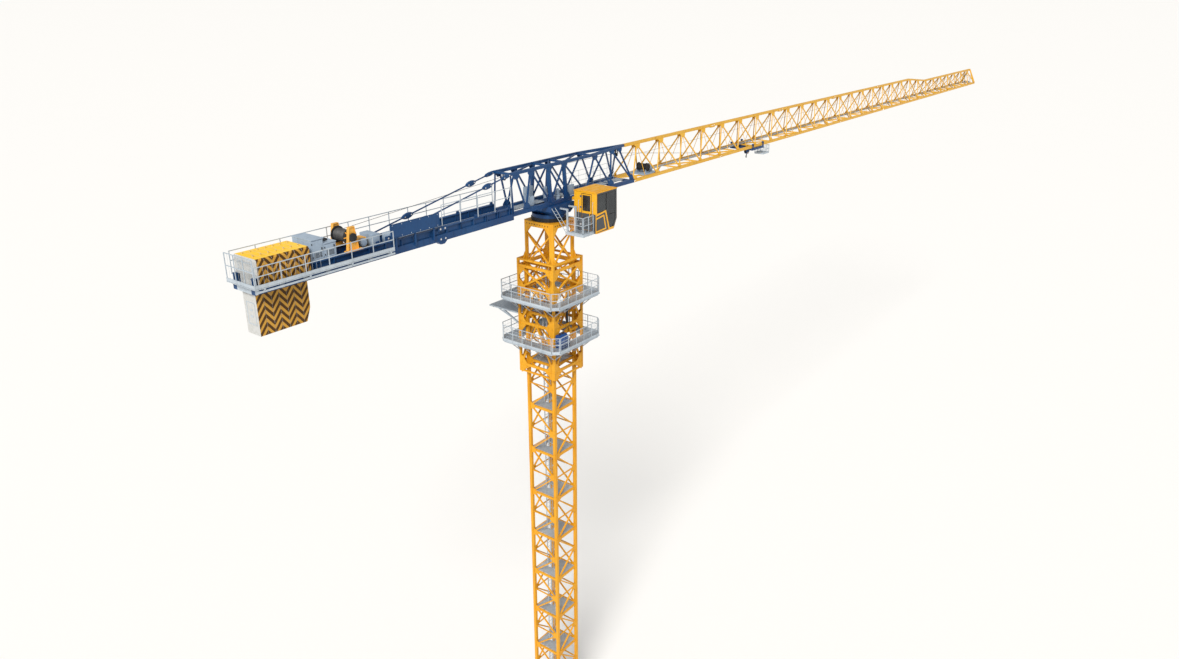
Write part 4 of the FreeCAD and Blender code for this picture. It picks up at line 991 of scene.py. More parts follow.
def buildHeadPlates():
    s = headSettings
    mesh = bmesh.new()
    half, tall = s["footLong"] / 2, s["footTall"]
    for x in s["feet"]:
        reach = min(half, s["rootX"] - 1 - x)
        sidePlate(mesh, x, [(-half, 0.5), (reach, 0.5), (reach, tall * 0.35), (min(half * 0.5, reach), tall),
                            (-half * 0.5, tall), (-half, tall * 0.35)], s["plate"])
    half, tall = s["crownLong"] / 2, -s["crownTall"]
    for x in s["crowns"]:
        sidePlate(mesh, x, [(-half, -0.5), (half, -0.5), (half, tall * 0.35), (half * 0.5, tall),
                            (-half * 0.5, tall), (-half, tall * 0.35)], s["plate"])
    bothSides(mesh)
    fit("headPlates", mesh, "navyPaint", bevel=0.4 * mm)


# two upright drives beside the floor plate, over the slewing ring
def buildSlewMotors():
    motor = {"x": 22, "y": 41, "radius": 13 * mm, "fins": 5, "firstFin": 37 * mm, "finPitch": 5 * mm}
    r, z = motor["radius"], motor["firstFin"]
    profile = [(r * 1.12, 0), (r * 1.12, 5 * mm), (r * 0.9, 6 * mm), (r * 0.9, 30 * mm), (r * 1.05, 32 * mm),
               (r * 1.05, 35 * mm)]
    for fin in range(motor["fins"]):
        profile += [(r * 0.66, z), (r * 0.9, z + 0.4 * mm), (r * 0.9, z + 2.2 * mm), (r * 0.66, z + 2.6 * mm)]
        z += motor["finPitch"]
    profile += [(r * 0.8, z), (r * 0.8, z + 6 * mm), (r * 0.5, z + 8 * mm)]
    mesh = bmesh.new()
    addLathe(mesh, overJib(motor["x"], -motor["y"], 0), up, profile, 28)
    bothSides(mesh)
    fit("slewMotors", mesh, "cabinetPaint", smooth=True)


def buildTurntableDetail():
    mesh = bmesh.new()
    for x in (-66, -40, 40, 66):
        for side in (-1, 1):
            y = side * 93
            addPrism(mesh, [overJib(x - 2, y, -28), overJib(x + 2, y, -28), overJib(x + 2, y, -3),
                            overJib(x - 2, y, -3)], (0, side * 1.0 * mm, 0))
    for x0, x1 in ((-95.8, -95), (95, 95.8)):
        for y in (-70, -35, 0, 35, 70):
            jibBox(mesh, x0, x1, y - 2, y + 2, -26, -3)
    fit("turntableRibs", mesh, "navyPaint")
    bolts = []
    for i in range(30):
        angle = 2 * math.pi * i / 30
        bolts.append((overJib(math.cos(angle) * 82, math.sin(angle) * 82, -52.5), (math.pi, 0, 0)))
    for x in (-320, -290, 640):
        for side in (-1, 1):
            bolts.append((overJib(x, side * footLine(x), 20), (0, 0, 0)))
    repeatPart("headBolts", boltShape(2.4 * mm, 3 * mm), bolts, "brightSteel", "upperworks")


# a guard rail along the frame's floor, the floor's plates and the electric boxes beside them
def buildHeadWalk():
    rail = {"y": 24, "x0": 90, "x1": 610, "low": 12, "levels": (32, 60, 88, 116), "posts": 8, "wire": 0.9}
    plates = {"spans": ((-330, -166), (-136, -66), (66, 200), (224, 350), (372, 490), (512, 640)), "half": 26,
              "low": 16, "high": 18.4}
    boxes = ((-150, -92, 26, 44, 18, 96), (-200, -166, -44, -30, 18, 66), (88, 150, -50, -38, 18, 74))
    lines = [[overJib(rail["x0"], rail["y"], z), overJib(rail["x1"], rail["y"], z)] for z in rail["levels"]]
    for x in spaced(rail["x0"], rail["x1"], (rail["x1"] - rail["x0"]) / rail["posts"]):
        lines.append([overJib(x, rail["y"], rail["low"]), overJib(x, rail["y"], rail["levels"][-1])])
    wires("headRail", lines, rail["wire"] * mm, "zinc", "upperworks")
    mesh = bmesh.new()
    for x0, x1 in plates["spans"]:
        jibBox(mesh, x0, x1, -plates["half"], plates["half"], plates["low"], plates["high"])
    fit("headFloorPlates", mesh, "deckGrating", bevel=0.5 * mm)
    mesh = bmesh.new()
    for box in boxes:
        jibBox(mesh, *box)
    piece = finishMesh("headBoxes", mesh, "cabinetPaint", bevel=1.2 * mm, smooth=True)
    mount(piece, "upperworks")


buildHeadPlates()
buildSlewMotors()
buildTurntableDetail()
buildHeadWalk()
print("head frame detailed")


jibSettings = {"root": 668, "tip": 7668, "bay": 250, "section": 1000, "chordLine": 71, "crownY": 6, "low": 16,
               "high": 193, "tipHigh": 145, "taperFrom": 19.5, "taperTo": 21.5, "footLong": 42,
               "footTall": 20,
               "crownLong": 62, "crownTall": 26, "plate": 2, "half": 80, "topHalf": 9}


# underside of the top chord
def jibHeight(x):
    s = jibSettings
    start, end = s["root"] + s["bay"] * s["taperFrom"], s["root"] + s["bay"] * s["taperTo"]
    share = min(1.0, max(0.0, (x - start) / (end - start)))
    return s["high"] + (s["tipHigh"] - s["high"]) * share


def buildJibPlates():
    s = jibSettings
    bays = round((s["tip"] - s["root"]) / s["bay"])
    for kind, half, tall, sign in (("Feet", s["footLong"] / 2, s["footTall"], 1),
                                   ("Crowns", s["crownLong"] / 2, s["crownTall"], -1)):
        mesh = bmesh.new()
        outline = [(-half, 0), (half, 0), (half * 0.35, sign * tall), (-half * 0.35, sign * tall)]
        addPrism(mesh, [(x * mm, -s["plate"] * mm / 2, z * mm) for x, z in outline], (0, s["plate"] * mm, 0))
        plate = finishMesh("jibPlate", mesh, "jibPaint", bevel=0.35 * mm)
        places = []
        for number in range(bays + 1):
            if kind == "Feet":
                x = min(max(s["root"] + number * s["bay"], s["root"] + half), s["tip"] - half)
                level, across = s["low"], s["chordLine"]
            elif number < bays:
                x = s["root"] + (number + 0.5) * s["bay"]
                level, across = jibHeight(x), s["crownY"]
            else:
                continue
            lean = math.atan2(s["chordLine"] - s["crownY"], jibHeight(x) - s["low"])
            for side in (-1, 1):
                shift = Vector((0, side * math.cos(lean), math.sin(lean))) * 4.2
                places.append((overJib(x, side * across, level) + shift * mm, (side * lean, 0, 0)))
        repeatPart("jibPlates" + kind, plate, places, "jibPaint", "upperworks")


# flanged joints with pins where one section meets the next
def buildJibSplices():
    s = jibSettings
    joint = {"half": 22, "proud": 1.4, "inner": (58, 62), "low": 1, "high": 15, "innerHigh": 19,
             "pins": (-14, -6, 6, 14),
             "pinLevel": 8, "topHalf": 24, "topProud": 2.5, "topPins": (-16, -7, 7, 16), "topLevel": 201,
             "saddle": 12,
             "pin": 1.6 * mm, "pinHigh": 1.8 * mm}
    mesh = bmesh.new()
    bolts = []
    for x in spaced(s["root"], s["tip"], s["section"])[:-1]:
        x0, x1 = max(x - joint["half"], s["root"]), x + joint["half"]
        tall = s["root"] + 30 < x < s["root"] + s["bay"] * s["taperFrom"]
        top0, top1 = x - joint["topHalf"], x + joint["topHalf"]
        for side in (-1, 1):
            y0, y1 = sorted((side * s["half"], side * (s["half"] + joint["proud"])))
            jibBox(mesh, x0, x1, y0, y1, joint["low"], joint["high"])
            y0, y1 = sorted(side * y for y in joint["inner"])
            jibBox(mesh, x0, x1, y0, y1, joint["low"], joint["innerHigh"])
            turn = (side * -math.pi / 2, 0, 0)
            for shift in joint["pins"]:
                if x + shift > s["root"] + 4:
                    place = overJib(x + shift, side * (s["half"] + joint["proud"]), joint["pinLevel"])
                    bolts.append((place, turn))
            if tall:
                outer = s["topHalf"] + joint["topProud"]
                y0, y1 = sorted((side * s["topHalf"], side * outer))
                jibBox(mesh, top0, top1, y0, y1, s["high"] - 4, s["high"] + 14)
                bolts += [(overJib(x + shift, side * outer, joint["topLevel"]),
                           turn) for shift in joint["topPins"]]
        if tall:
            jibBox(mesh, top0, top1, -joint["saddle"], joint["saddle"], s["high"] - 5, s["high"])
    fit("jibSplices", mesh, "jibPaint", bevel=0.4 * mm)
    bolt = boltShape(joint["pin"], joint["pinHigh"])
    repeatPart("jibSpliceBolts", bolt, bolts, "brightSteel", "upperworks")


# the narrow catwalk on the jib's floor, the thin hangers of its bays and its hand line
def buildJibWalk():
    s = jibSettings
    walk = {"start": 330, "end": 20, "gap": 8, "y0": 32, "y1": 56, "low": 12, "high": 13.6,
            "hanger": 1.6 * mm}
    line = {"share": 0.62, "end": 10, "stand": 3, "wire": 0.7 * mm}
    mesh = bmesh.new()
    for x in spaced(s["root"] + walk["start"], s["tip"] - walk["end"], s["bay"])[:-1]:
        jibBox(mesh, x, x + s["bay"] - walk["gap"], walk["y0"], walk["y1"], walk["low"], walk["high"])
    fit("jibCatwalk", mesh, "deckGrating")
    lines = []
    for number in range(round((s["tip"] - s["root"]) / s["bay"])):
        x = s["root"] + (number + 0.5) * s["bay"]
        high = jibHeight(x)
        for side in (-1, 1):
            lines.append([overJib(x, side * s["crownY"], high), overJib(x, side * s["chordLine"], s["low"])])
    wires("jibHangers", lines, walk["hanger"], "jibPaint", "upperworks", 6)
    points = []
    y = s["chordLine"] + (s["crownY"] - s["chordLine"]) * line["share"] - line["stand"]
    for x in spaced(s["root"] + line["end"], s["tip"] - line["end"], s["bay"] / 2):
        points.append(overJib(x, y, s["low"] + (jibHeight(x) - s["low"]) * line["share"]))
    wires("jibHandLine", [points], line["wire"], "ropeWire", "upperworks", 6)


# the small stand with rails at the jib's tip, and the rope pulleys below it
def buildJibTip():
    stand = {"from": 62, "to": 8, "half": 30, "low": 16, "levels": (56, 92), "bar": 3 * mm, "plateHalf": 34,
             "plateLow": 12, "plateHigh": 14}
    pulley = {"back": 34, "rows": (-22, 0, 22), "level": 22, "rim": 9 * mm, "groove": 7 * mm, "shaftHalf": 40,
              "shaft": 2 * mm}
    tip, half, bar = jibSettings["tip"], stand["half"], stand["bar"]
    x0, x1, top = tip - stand["from"], tip - stand["to"], stand["levels"][-1]
    mesh = bmesh.new()
    for x in (x0, x1):
        for side in (-1, 1):
            addBar(mesh, overJib(x, side * half, stand["low"]), overJib(x, side * half, top), bar, bar)
        addBar(mesh, overJib(x, -half, top), overJib(x, half, top), bar, bar, (0, 0, 1))
    for side in (-1, 1):
        for z in stand["levels"]:
            addBar(mesh, overJib(x0, side * half, z), overJib(x1, side * half, z), bar, bar)
    jibBox(mesh, x0 - 4, x1 + 2, -stand["plateHalf"], stand["plateHalf"], stand["plateLow"],
           stand["plateHigh"])
    fit("jibTipFrame", mesh, "zinc", bevel=0.3 * mm)
    x, z, rim, groove = tip - pulley["back"], pulley["level"], pulley["rim"], pulley["groove"]
    mesh = bmesh.new()
    profile = [(rim, 0), (rim, 1 * mm), (groove, 2.2 * mm), (groove, 3.8 * mm), (rim, 5 * mm), (rim, 6 * mm)]
    for y in pulley["rows"]:
        addLathe(mesh, overJib(x, y - 3, z), (0, 1, 0), profile, 24)
    addTube(mesh, overJib(x, -pulley["shaftHalf"], z), overJib(x, pulley["shaftHalf"], z), pulley["shaft"])
    fit("jibTipPulleys", mesh, "darkSteel", smooth=True)


# the taut ropes: the hoist rope from drum to tip and the trolley's ropes from its own winch
def buildRopes():
    tip = jibSettings["tip"]
    hoist = {"points": ((-1300, 127), (-335, 186), (600, 168), (1620, 27), (tip - 40, 29)), "wire": 1.0 * mm}
    trolleyRope = {"from": (868, 30), "end": tip - 36, "runs": ((-22, 15), (22, 15), (22, 30)),
                   "wire": 0.7 * mm}
    pulleys = {"places": ((-335, 175, 10), (600, 158, 9)), "groove": 0.8, "cheeks": (-7, 5), "cheekThick": 2,
               "cheekHalf": 4, "cheekTop": 196}
    line = [overJib(x, 0, z) for x, z in hoist["points"]]
    wires("hoistRope", [line], hoist["wire"], "ropeWire", "upperworks", 8)
    start, level = trolleyRope["from"]
    lines = [[overJib(start, y, level), overJib(trolleyRope["end"], y, z)] for y, z in trolleyRope["runs"]]
    wires("trolleyRopes", lines, trolleyRope["wire"], "ropeWire", "upperworks", 6)
    mesh = bmesh.new()
    for x, z, radius in pulleys["places"]:
        rim, groove = radius * mm, radius * pulleys["groove"] * mm
        profile = [(rim, 0), (rim, 1 * mm), (groove, 3 * mm), (groove, 5 * mm), (rim, 7 * mm), (rim, 8 * mm)]
        addLathe(mesh, overJib(x, -4, z), (0, 1, 0), profile, 28)
        half = pulleys["cheekHalf"]
        for y in pulleys["cheeks"]:
            jibBox(mesh, x - half, x + half, y, y + pulleys["cheekThick"], z - 5, pulleys["cheekTop"])
    fit("headPulleys", mesh, "darkSteel", smooth=True)


buildJibPlates()
buildJibSplices()
buildJibWalk()
buildJibTip()
buildRopes()
print("jib detailed")


counterSettings = {"tieTop": (-348, -54, 203), "tieFoot": (-1120, -54, 57), "tiePlates": (0.04, 0.21, 0.73),
                   "plateLong": 31, "plateWide": (8.5, 12, 12), "plateThick": 12, "jointX": -825,
                   "winchX": -1300,
                   "axis": 100, "walkOuter": -112, "walkFrom": -1766, "walkTo": -1135, "bracketPitch": 105,
                   "slabs": 7}


# oval plates with pins where the tie bars' lengths are joined
def buildTiePlates():
    s = counterSettings
    pin = {"along": 18, "back": 7.5, "radius": 3.4 * mm, "long": 15 * mm, "footRadius": 4 * mm,
           "footLong": 11 * mm,
           "footBack": 5.5}
    top, foot = Vector(s["tieTop"]), Vector(s["tieFoot"])
    slope = (foot.z - top.z) / (foot.x - top.x)
    mesh, pins = bmesh.new(), bmesh.new()
    for share, wide in zip(s["tiePlates"], s["plateWide"]):
        centre = top.lerp(foot, share)
        rim = ellipse((centre.x, centre.y - s["plateThick"] / 2, centre.z), s["plateLong"], wide, slope)
        addPrism(mesh, [overJib(*point) for point in rim], (0, s["plateThick"] * mm, 0))
        for along in (-pin["along"], pin["along"]):
            place = overJib(centre.x + along, centre.y - pin["back"], centre.z + along * slope)
            addTube(pins, place, place + Vector((0, pin["long"], 0)), pin["radius"], 14)
    for shape in (mesh, pins):
        bothSides(shape)
    fit("tiePlates", mesh, "navyPaint", bevel=0.8 * mm, smooth=True)
    place = overJib(foot.x, foot.y - pin["footBack"], foot.z)
    addTube(pins, place, place + Vector((0, pin["footLong"], 0)), pin["footRadius"], 14)
    fit("tiePins", pins, "brightSteel", smooth=True)


# stiffeners, joint plates with pins and lifting lugs on the long girders, and the bearers between them
def buildGirderDetail():
    rib = {"from": -790, "to": -380, "pitch": 82, "half": 2, "y0": -69, "y1": -62, "low": 13, "high": 42}
    joint = {"x": counterSettings["jointX"], "half": 26, "y0": -71.5, "y1": -69, "levels": (-16, 30),
             "high": 20,
             "pins": (-14, 14), "pin": 4.5 * mm, "pinY": -75, "pinLong": 6 * mm}
    lug = {"x": (-370, -600, -1180), "half": 9, "y0": -61, "y1": -58, "low": 44, "high": 58}
    bearer = {"from": -1360, "to": -380, "pitch": 160, "half": 5, "reach": 46, "low": -14, "high": -6}
    mesh, pins = bmesh.new(), bmesh.new()
    for x in spaced(rib["from"], rib["to"], rib["pitch"]):
        jibBox(mesh, x - rib["half"], x + rib["half"], rib["y0"], rib["y1"], rib["low"], rib["high"])
    for z in joint["levels"]:
        jibBox(mesh, joint["x"] - joint["half"], joint["x"] + joint["half"], joint["y0"], joint["y1"], z,
               z + joint["high"])
        for shift in joint["pins"]:
            place = overJib(joint["x"] + shift, joint["pinY"], z + joint["high"] / 2)
            addTube(pins, place, place + Vector((0, joint["pinLong"], 0)), joint["pin"], 16)
    for x in lug["x"]:
        jibBox(mesh, x - lug["half"], x + lug["half"], lug["y0"], lug["y1"], lug["low"], lug["high"])
    for shape in (mesh, pins):
        bothSides(shape)
    fit("girderRibs", mesh, "navyPaint", bevel=0.3 * mm)
    fit("girderPins", pins, "brightSteel", smooth=True)
    mesh = bmesh.new()
    for x in spaced(bearer["from"], bearer["to"], bearer["pitch"]):
        jibBox(mesh, x - bearer["half"], x + bearer["half"], -bearer["reach"], bearer["reach"], bearer["low"],
               bearer["high"])
    fit("deckBearers", mesh, "navyPaint", bevel=0.4 * mm)


def buildWalkwayDetail():
    s = counterSettings
    mesh = bmesh.new()
    outer, x0, x1 = s["walkOuter"], s["walkFrom"], s["walkTo"]
    jibBox(mesh, x0 - 23, x1, outer, outer + 1.4, 19, 33)
    jibBox(mesh, x0 - 24, x0 - 22.6, outer, 69, 19, 33)
    jibBox(mesh, x0 - 23, x1, outer, outer + 3, 2, 9)
    for x in spaced(x0, x1 - 6, s["bracketPitch"]):
        points = [(outer + 3, 8), (-70, 8), (-70, -14), (-76, -14), (outer + 3, 2)]
        addPrism(mesh, [overJib(x, y, z) for y, z in points], (3 * mm, 0, 0))
    fit("walkwayEdges", mesh, "zinc", bevel=0.3 * mm)
    lines = []
    for x in spaced(-1766, -1500, 19):
        lines.append([overJib(x, outer + 2.5, 30), overJib(x, outer + 2.5, 96)])
    for y in spaced(outer + 2, 66, 19):
        lines.append([overJib(-1787, y, 30), overJib(-1787, y, 126)])
    wires("rearMesh", lines, 0.4 * mm, "zinc", "upperworks", 4)


# lifting eyes on the slabs' tops, and raised frames on their rear face
def buildBallastDetail():
    low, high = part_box("ballast_slabs")
    eye = {"rows": (-34 * mm, 34 * mm), "plate": 4.4 * mm, "wire": 0.9 * mm, "half": 3 * mm, "top": 7 * mm}
    recess = {"rear": -1750, "frames": ((60, 96, 44), (-150, -60, 27)), "edge": 3, "proud": 1.2,
              "steps": (-95, -120), "stepHigh": 7, "stepHalf": 8, "stepProud": 1.4}
    pitch = (high.x - low.x) / counterSettings["slabs"]
    mesh = bmesh.new()
    addLathe(mesh, (0, 0, -1 * mm), up, [(eye["plate"], 0), (eye["plate"], 1.8 * mm), (3 * mm, 2.2 * mm)], 14)
    for y in (-eye["half"], eye["half"]):
        addTube(mesh, (0, y, 0), (0, y, eye["top"]), eye["wire"], 8)
    end, level = eye["half"] + 0.8 * mm, eye["top"] - 0.4 * mm
    addTube(mesh, (0, -end, level), (0, end, level), eye["wire"], 8)
    part = finishMesh("slabEye", mesh, "ballastPaint", smooth=True)
    places = [((low.x + pitch * (number + 0.5), y, high.z), (0, 0, 0))
              for number in range(counterSettings["slabs"]) for y in eye["rows"]]
    repeatPart("slabEyes", part, places, "ballastPaint", "upperworks", uneven=0.15,
               seed=4)
    rear, edge = recess["rear"], recess["edge"]
    mesh = bmesh.new()
    for z0, z1, half in recess["frames"]:
        for y0, y1 in ((-half, -half + edge), (half - edge, half)):
            jibBox(mesh, rear - recess["proud"], rear, y0, y1, z0, z1)
        for z in (z0, z1 - edge):
            jibBox(mesh, rear - recess["proud"], rear, -half + edge, half - edge, z, z + edge)
    for z in recess["steps"]:
        jibBox(mesh, rear - recess["stepProud"], rear, -recess["stepHalf"], recess["stepHalf"], z,
               z + recess["stepHigh"])
    fit("slabRecess", mesh, "zinc", bevel=0.4 * mm)


# the hoist drum with its flanges and brake disc, its wound rope and its spokes
def buildWinch():
    x, z = counterSettings["winchX"], counterSettings["axis"]
    drum = {"radius": 24, "flange": 34, "brake": 18, "shaft": 6, "turns": 22, "ropeFrom": -36.8,
            "ropeLong": 73.6,
            "spokes": 8, "spokeIn": 10, "spokeOut": 31, "spokeWide": 4 * mm, "spokeThick": 1.4 * mm}
    shaft, brake, flange, radius = drum["shaft"], drum["brake"], drum["flange"], drum["radius"]
    profile = [(shaft, -62), (brake - 1.5, -62), (brake, -61), (brake, -57), (brake - 1.5, -56), (shaft, -56),
               (shaft, -40), (flange - 1, -40), (flange, -39.4), (flange, -37.6), (flange - 1, -37),
               (radius, -37),
               (radius, 37), (flange - 1, 37), (flange, 37.6), (flange, 39.4), (flange - 1, 40), (shaft, 40),
               (shaft, 62)]
    mesh = bmesh.new()
    addLathe(mesh, overJib(x, 0, z), (0, 1, 0), [(r * mm, y * mm) for r, y in profile], 56)
    body = fit("drumBody", mesh, "darkSteel", "hoist_drum", smooth=True)
    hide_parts("hoist_drum")
    profile, y, pitch = [], drum["ropeFrom"], drum["ropeLong"] / drum["turns"]
    for turn in range(drum["turns"]):
        for share, rise in ((0.0, 0.2), (0.2, 1.5), (0.5, 2.0), (0.8, 1.5)):
            profile.append(((radius + rise) * mm, (y + share * pitch) * mm))
        y += pitch
    mesh = bmesh.new()
    addLathe(mesh, overJib(x, 0, z), (0, 1, 0), profile, 48)
    fit("drumRope", mesh, "ropeWire", "hoist_drum", smooth=True)
    mesh = bmesh.new()
    middle = drum["spokeThick"] / 2
    for i in range(drum["spokes"]):
        angle = 2 * math.pi * i / drum["spokes"]
        for y in (-41.4, 40):
            start, end = (overJib(x + math.cos(angle) * reach, y, z + math.sin(angle) * reach)
                          + Vector((0, middle, 0)) for reach in (drum["spokeIn"], drum["spokeOut"]))
            addBar(mesh, start, end, drum["spokeWide"], drum["spokeThick"])
    fit("drumSpokes", mesh, "winchPaint", "hoist_drum")


def buildWinchStands():
    s = counterSettings
    x, z = s["winchX"], s["axis"]
    mesh = bmesh.new()
    for lean in (-1, 1):
        jibBar(mesh, (x + lean * 26.5, -50, 46), (x + lean * 12.5, -50, 141), 2.5, 15)
    jibBox(mesh, x - 14, x + 14, -57.5, -42.5, 141, 143.5)
    addLathe(mesh, overJib(x, -46, z), (0, 1, 0), [(13 * mm, 0), (13 * mm, 3.4 * mm), (11 * mm, 4 * mm)], 24)
    addLathe(mesh, overJib(x, -54, z), (0, -1, 0), [(13 * mm, 0), (13 * mm, 1.2 * mm), (11 * mm, 1.6 * mm)],
             24)
    bothSides(mesh)
    fit("winchFlanges", mesh, "winchPaint", bevel=0.4 * mm)
    motor = overJib(x + 68, 0, 60)
    mesh = bmesh.new()
    for side in (-1, 1):
        profile = [(15 * mm, 19 * mm)]
        for fin in range(5):
            start = (20 + fin * 3.4) * mm
            profile += [(15.5 * mm, start), (18 * mm, start + 0.3 * mm), (18 * mm, start + 1.5 * mm),
                        (15.5 * mm, start + 1.8 * mm)]
        profile += [(16.8 * mm, 37 * mm), (15 * mm, 40 * mm), (6 * mm, 41 * mm)]
        addLathe(mesh, motor, (0, side, 0), profile, 32)
    jibBox(mesh, x + 58, x + 78, 22, 36, 74, 84)
    fit("winchMotorFins", mesh, "cabinetPaint", smooth=True)
    bolts = []
    for shift in (-38, -24, 24, 38):
        for side in (-1, 1):
            bolts.append((overJib(x + shift, side * 61, 50), (0, 0, 0)))
    for bx in (x + 44, x + 91):
        for y in (-26, 26):
            bolts.append((overJib(bx, y, 28), (0, 0, 0)))
    repeatPart("winchBolts", boltShape(2 * mm, 2.4 * mm), bolts, "brightSteel", "upperworks")


# doors, hinges, louvres, a hood and a roof fan on the two cabinets, and two boxes on the deck
def buildCabinets():
    box = {"x0": -1500, "x1": -1385, "y": -58, "top": 130, "small": 106, "low": 45, "bigFar": 61,
           "smallFar": 31}
    vent = {"pitch": 3.6, "high": 1.6, "inset": 7, "from": 12, "to": 30}
    fan = {"x": 30, "y": -16, "outer": 17 * mm, "inner": 15 * mm, "hub": 4 * mm}
    boxes = ((-1192, -1150, -40, 38, 20, 84), (-1096, -1040, -34, 12, 20, 66))
    middle, front, low = (box["x0"] + box["x1"]) / 2 - 1, box["y"], box["low"]
    mesh, dark = bmesh.new(), bmesh.new()
    jibBox(mesh, box["x0"] - 1, middle + 2, front - 3, box["bigFar"], box["top"] - 2, box["top"] + 1.5)
    jibBox(mesh, middle + 2, box["x1"] + 1.5, front - 3, box["smallFar"], box["small"] - 2,
           box["small"] + 1.5)
    for x0, x1, z1 in ((box["x0"] + 4, middle - 3, box["top"] - 6),
                       (middle + 5, box["x1"] - 4, box["small"] - 6)):
        jibBox(mesh, x0, x1, front - 1.6, front, low + 5, z1)
        for z in spaced(low + vent["from"], low + vent["to"], vent["pitch"]):
            jibBox(dark, x0 + vent["inset"], x1 - vent["inset"], front - 2.2, front - 1.4, z,
                   z + vent["high"])
        jibBox(dark, x1 - 8, x1 - 5, front - 4.6, front - 1.4, low + 36, low + 50)
        for z in (low + 12, z1 - 14):
            jibBox(dark, x0 - 1, x0 + 1.4, front - 2.6, front, z, z + 7)
    for z in spaced(64, 96, 5):
        jibBox(dark, box["x1"], box["x1"] + 1.2, -50, 20, z, z + 2)
    outer, inner, hub = fan["outer"], fan["inner"], fan["hub"]
    addLathe(dark, overJib(middle + fan["x"], fan["y"], box["small"] + 1.5), up,
             [(outer, 0), (outer, 5 * mm), (inner, 6 * mm), (inner, 4 * mm), (hub, 4 * mm), (3 * mm, 6 * mm)],
             28)
    fit("cabinetDoors", mesh, "cabinetPaint", bevel=0.5 * mm)
    fit("cabinetVents", dark, "darkSteel")
    mesh = bmesh.new()
    for size in boxes:
        jibBox(mesh, *size)
    fit("deckBoxes", mesh, "cabinetPaint", bevel=1.4 * mm, smooth=True)


# a turned edge and bolts on the bare board
def buildSign():
    board = {"x0": -1125, "x1": -850, "z0": 58, "z1": 118, "face": -82, "proud": 1.2, "edge": 2,
             "boltInset": 10,
             "boltPitch": 51, "boltEdge": 6, "bolt": 1.3 * mm, "boltHigh": 1.1 * mm}
    x0, x1, z0, z1, edge, face = (board[key] for key in ("x0", "x1", "z0", "z1", "edge", "face"))
    mesh = bmesh.new()
    for a, b, c, d in ((x0, x1, z0, z0 + edge), (x0, x1, z1 - edge, z1),
                       (x0, x0 + edge, z0 + edge, z1 - edge),
                       (x1 - edge, x1, z0 + edge, z1 - edge)):
        jibBox(mesh, a, b, face - board["proud"], face, c, d)
    fit("signEdge", mesh, "navyPaint")
    columns = spaced(x0 + board["boltInset"], x1 - board["boltInset"], board["boltPitch"])
    rows = (z0 + board["boltEdge"], z1 - board["boltEdge"])
    bolts = [(overJib(x, face, z), (math.pi / 2, 0, 0)) for x in columns for z in rows]
    part = boltShape(board["bolt"], board["boltHigh"])
    repeatPart("signBolts", part, bolts, "zinc", "upperworks")


buildTiePlates()
buildGirderDetail()
buildWalkwayDetail()
buildBallastDetail()
buildWinch()
buildWinchStands()
buildCabinets()
buildSign()
print("counter-jib detailed")


cabSettings = {"x0": 60, "x1": 242, "near": -262, "far": -120, "low": -145, "roof": 68, "sill": -38,
               "doorWindow": (-222, -178, -30, 46), "door": (-232, -170, -133, 55), "gasket": 3}


# a flat band along points (x, z) on the cab's near side
def nearBand(mesh, points, width, rise, inset=0.0):
    y = cabSettings["near"] + inset
    for (x0, z0), (x1, z1) in zip(points, points[1:]):
        jibBar(mesh, (x0, y - rise / 2, z0), (x1, y - rise / 2, z1), width, rise)
    for x, z in points[1:-1]:
        addTube(mesh, overJib(x, y + 0.5, z), overJib(x, y - rise - 0.15, z), width * 0.49 * mm, 16)


def buildCabTrim():
    s = cabSettings
    mesh = bmesh.new()
    nearBand(mesh, [(61, -48), (139, -38), (171, -137), (212, -137)], 9, 2.6)
    nearBand(mesh, [(61, -66), (124, -58), (142, -130), (61, -134)], 8, 2.2)
    jibBox(mesh, s["x0"] - 1.5, s["x0"] + 5, s["near"] - 2, s["near"] + 4, -46, 65)
    jibBox(mesh, 66, 230, -257, -125, s["roof"], s["roof"] + 1.6)
    for y in (-232, -191, -150):
        jibBox(mesh, 74, 222, y - 2, y + 2, s["roof"] + 1.6, s["roof"] + 3)
    jibBox(mesh, 62, 214, s["near"] - 2.4, s["near"], -145, -141)
    fit("cabTrim", mesh, "cabPaint", bevel=0.5 * mm)


# charcoal panels round the door and on the near side
def buildCabPanels():
    s = cabSettings
    panel = {"thick": 1.0, "sideThick": 0.9, "sill": -44, "edge": -259, "far": -123,
             "low": ((62, -140), (62, -52), (136, -42), (168, -140)),
             "front": ((205, -140), (215, -140), (240, -93), (237, 62), (64, 62), (64, 55), (226, 55),
                       (226, -92))}
    x, back, base = s["x0"], s["x0"] - panel["thick"], s["low"] + 1
    door0, door1 = s["door"][0] - 2, s["door"][1] + 2
    mesh = bmesh.new()
    jibBox(mesh, back, x, panel["edge"], door0, base, panel["sill"])
    jibBox(mesh, back, x, door1, panel["far"], base, panel["sill"])
    jibBox(mesh, back, x, door0, door1, base, s["door"][2] - 1)
    for outline in (panel["low"], panel["front"]):
        points = [overJib(px, s["near"] - panel["sideThick"], pz) for px, pz in outline]
        addPrism(mesh, points, (0, panel["sideThick"] * mm, 0))
    fit("cabLowerPanels", mesh, "charcoal", bevel=0.3 * mm)


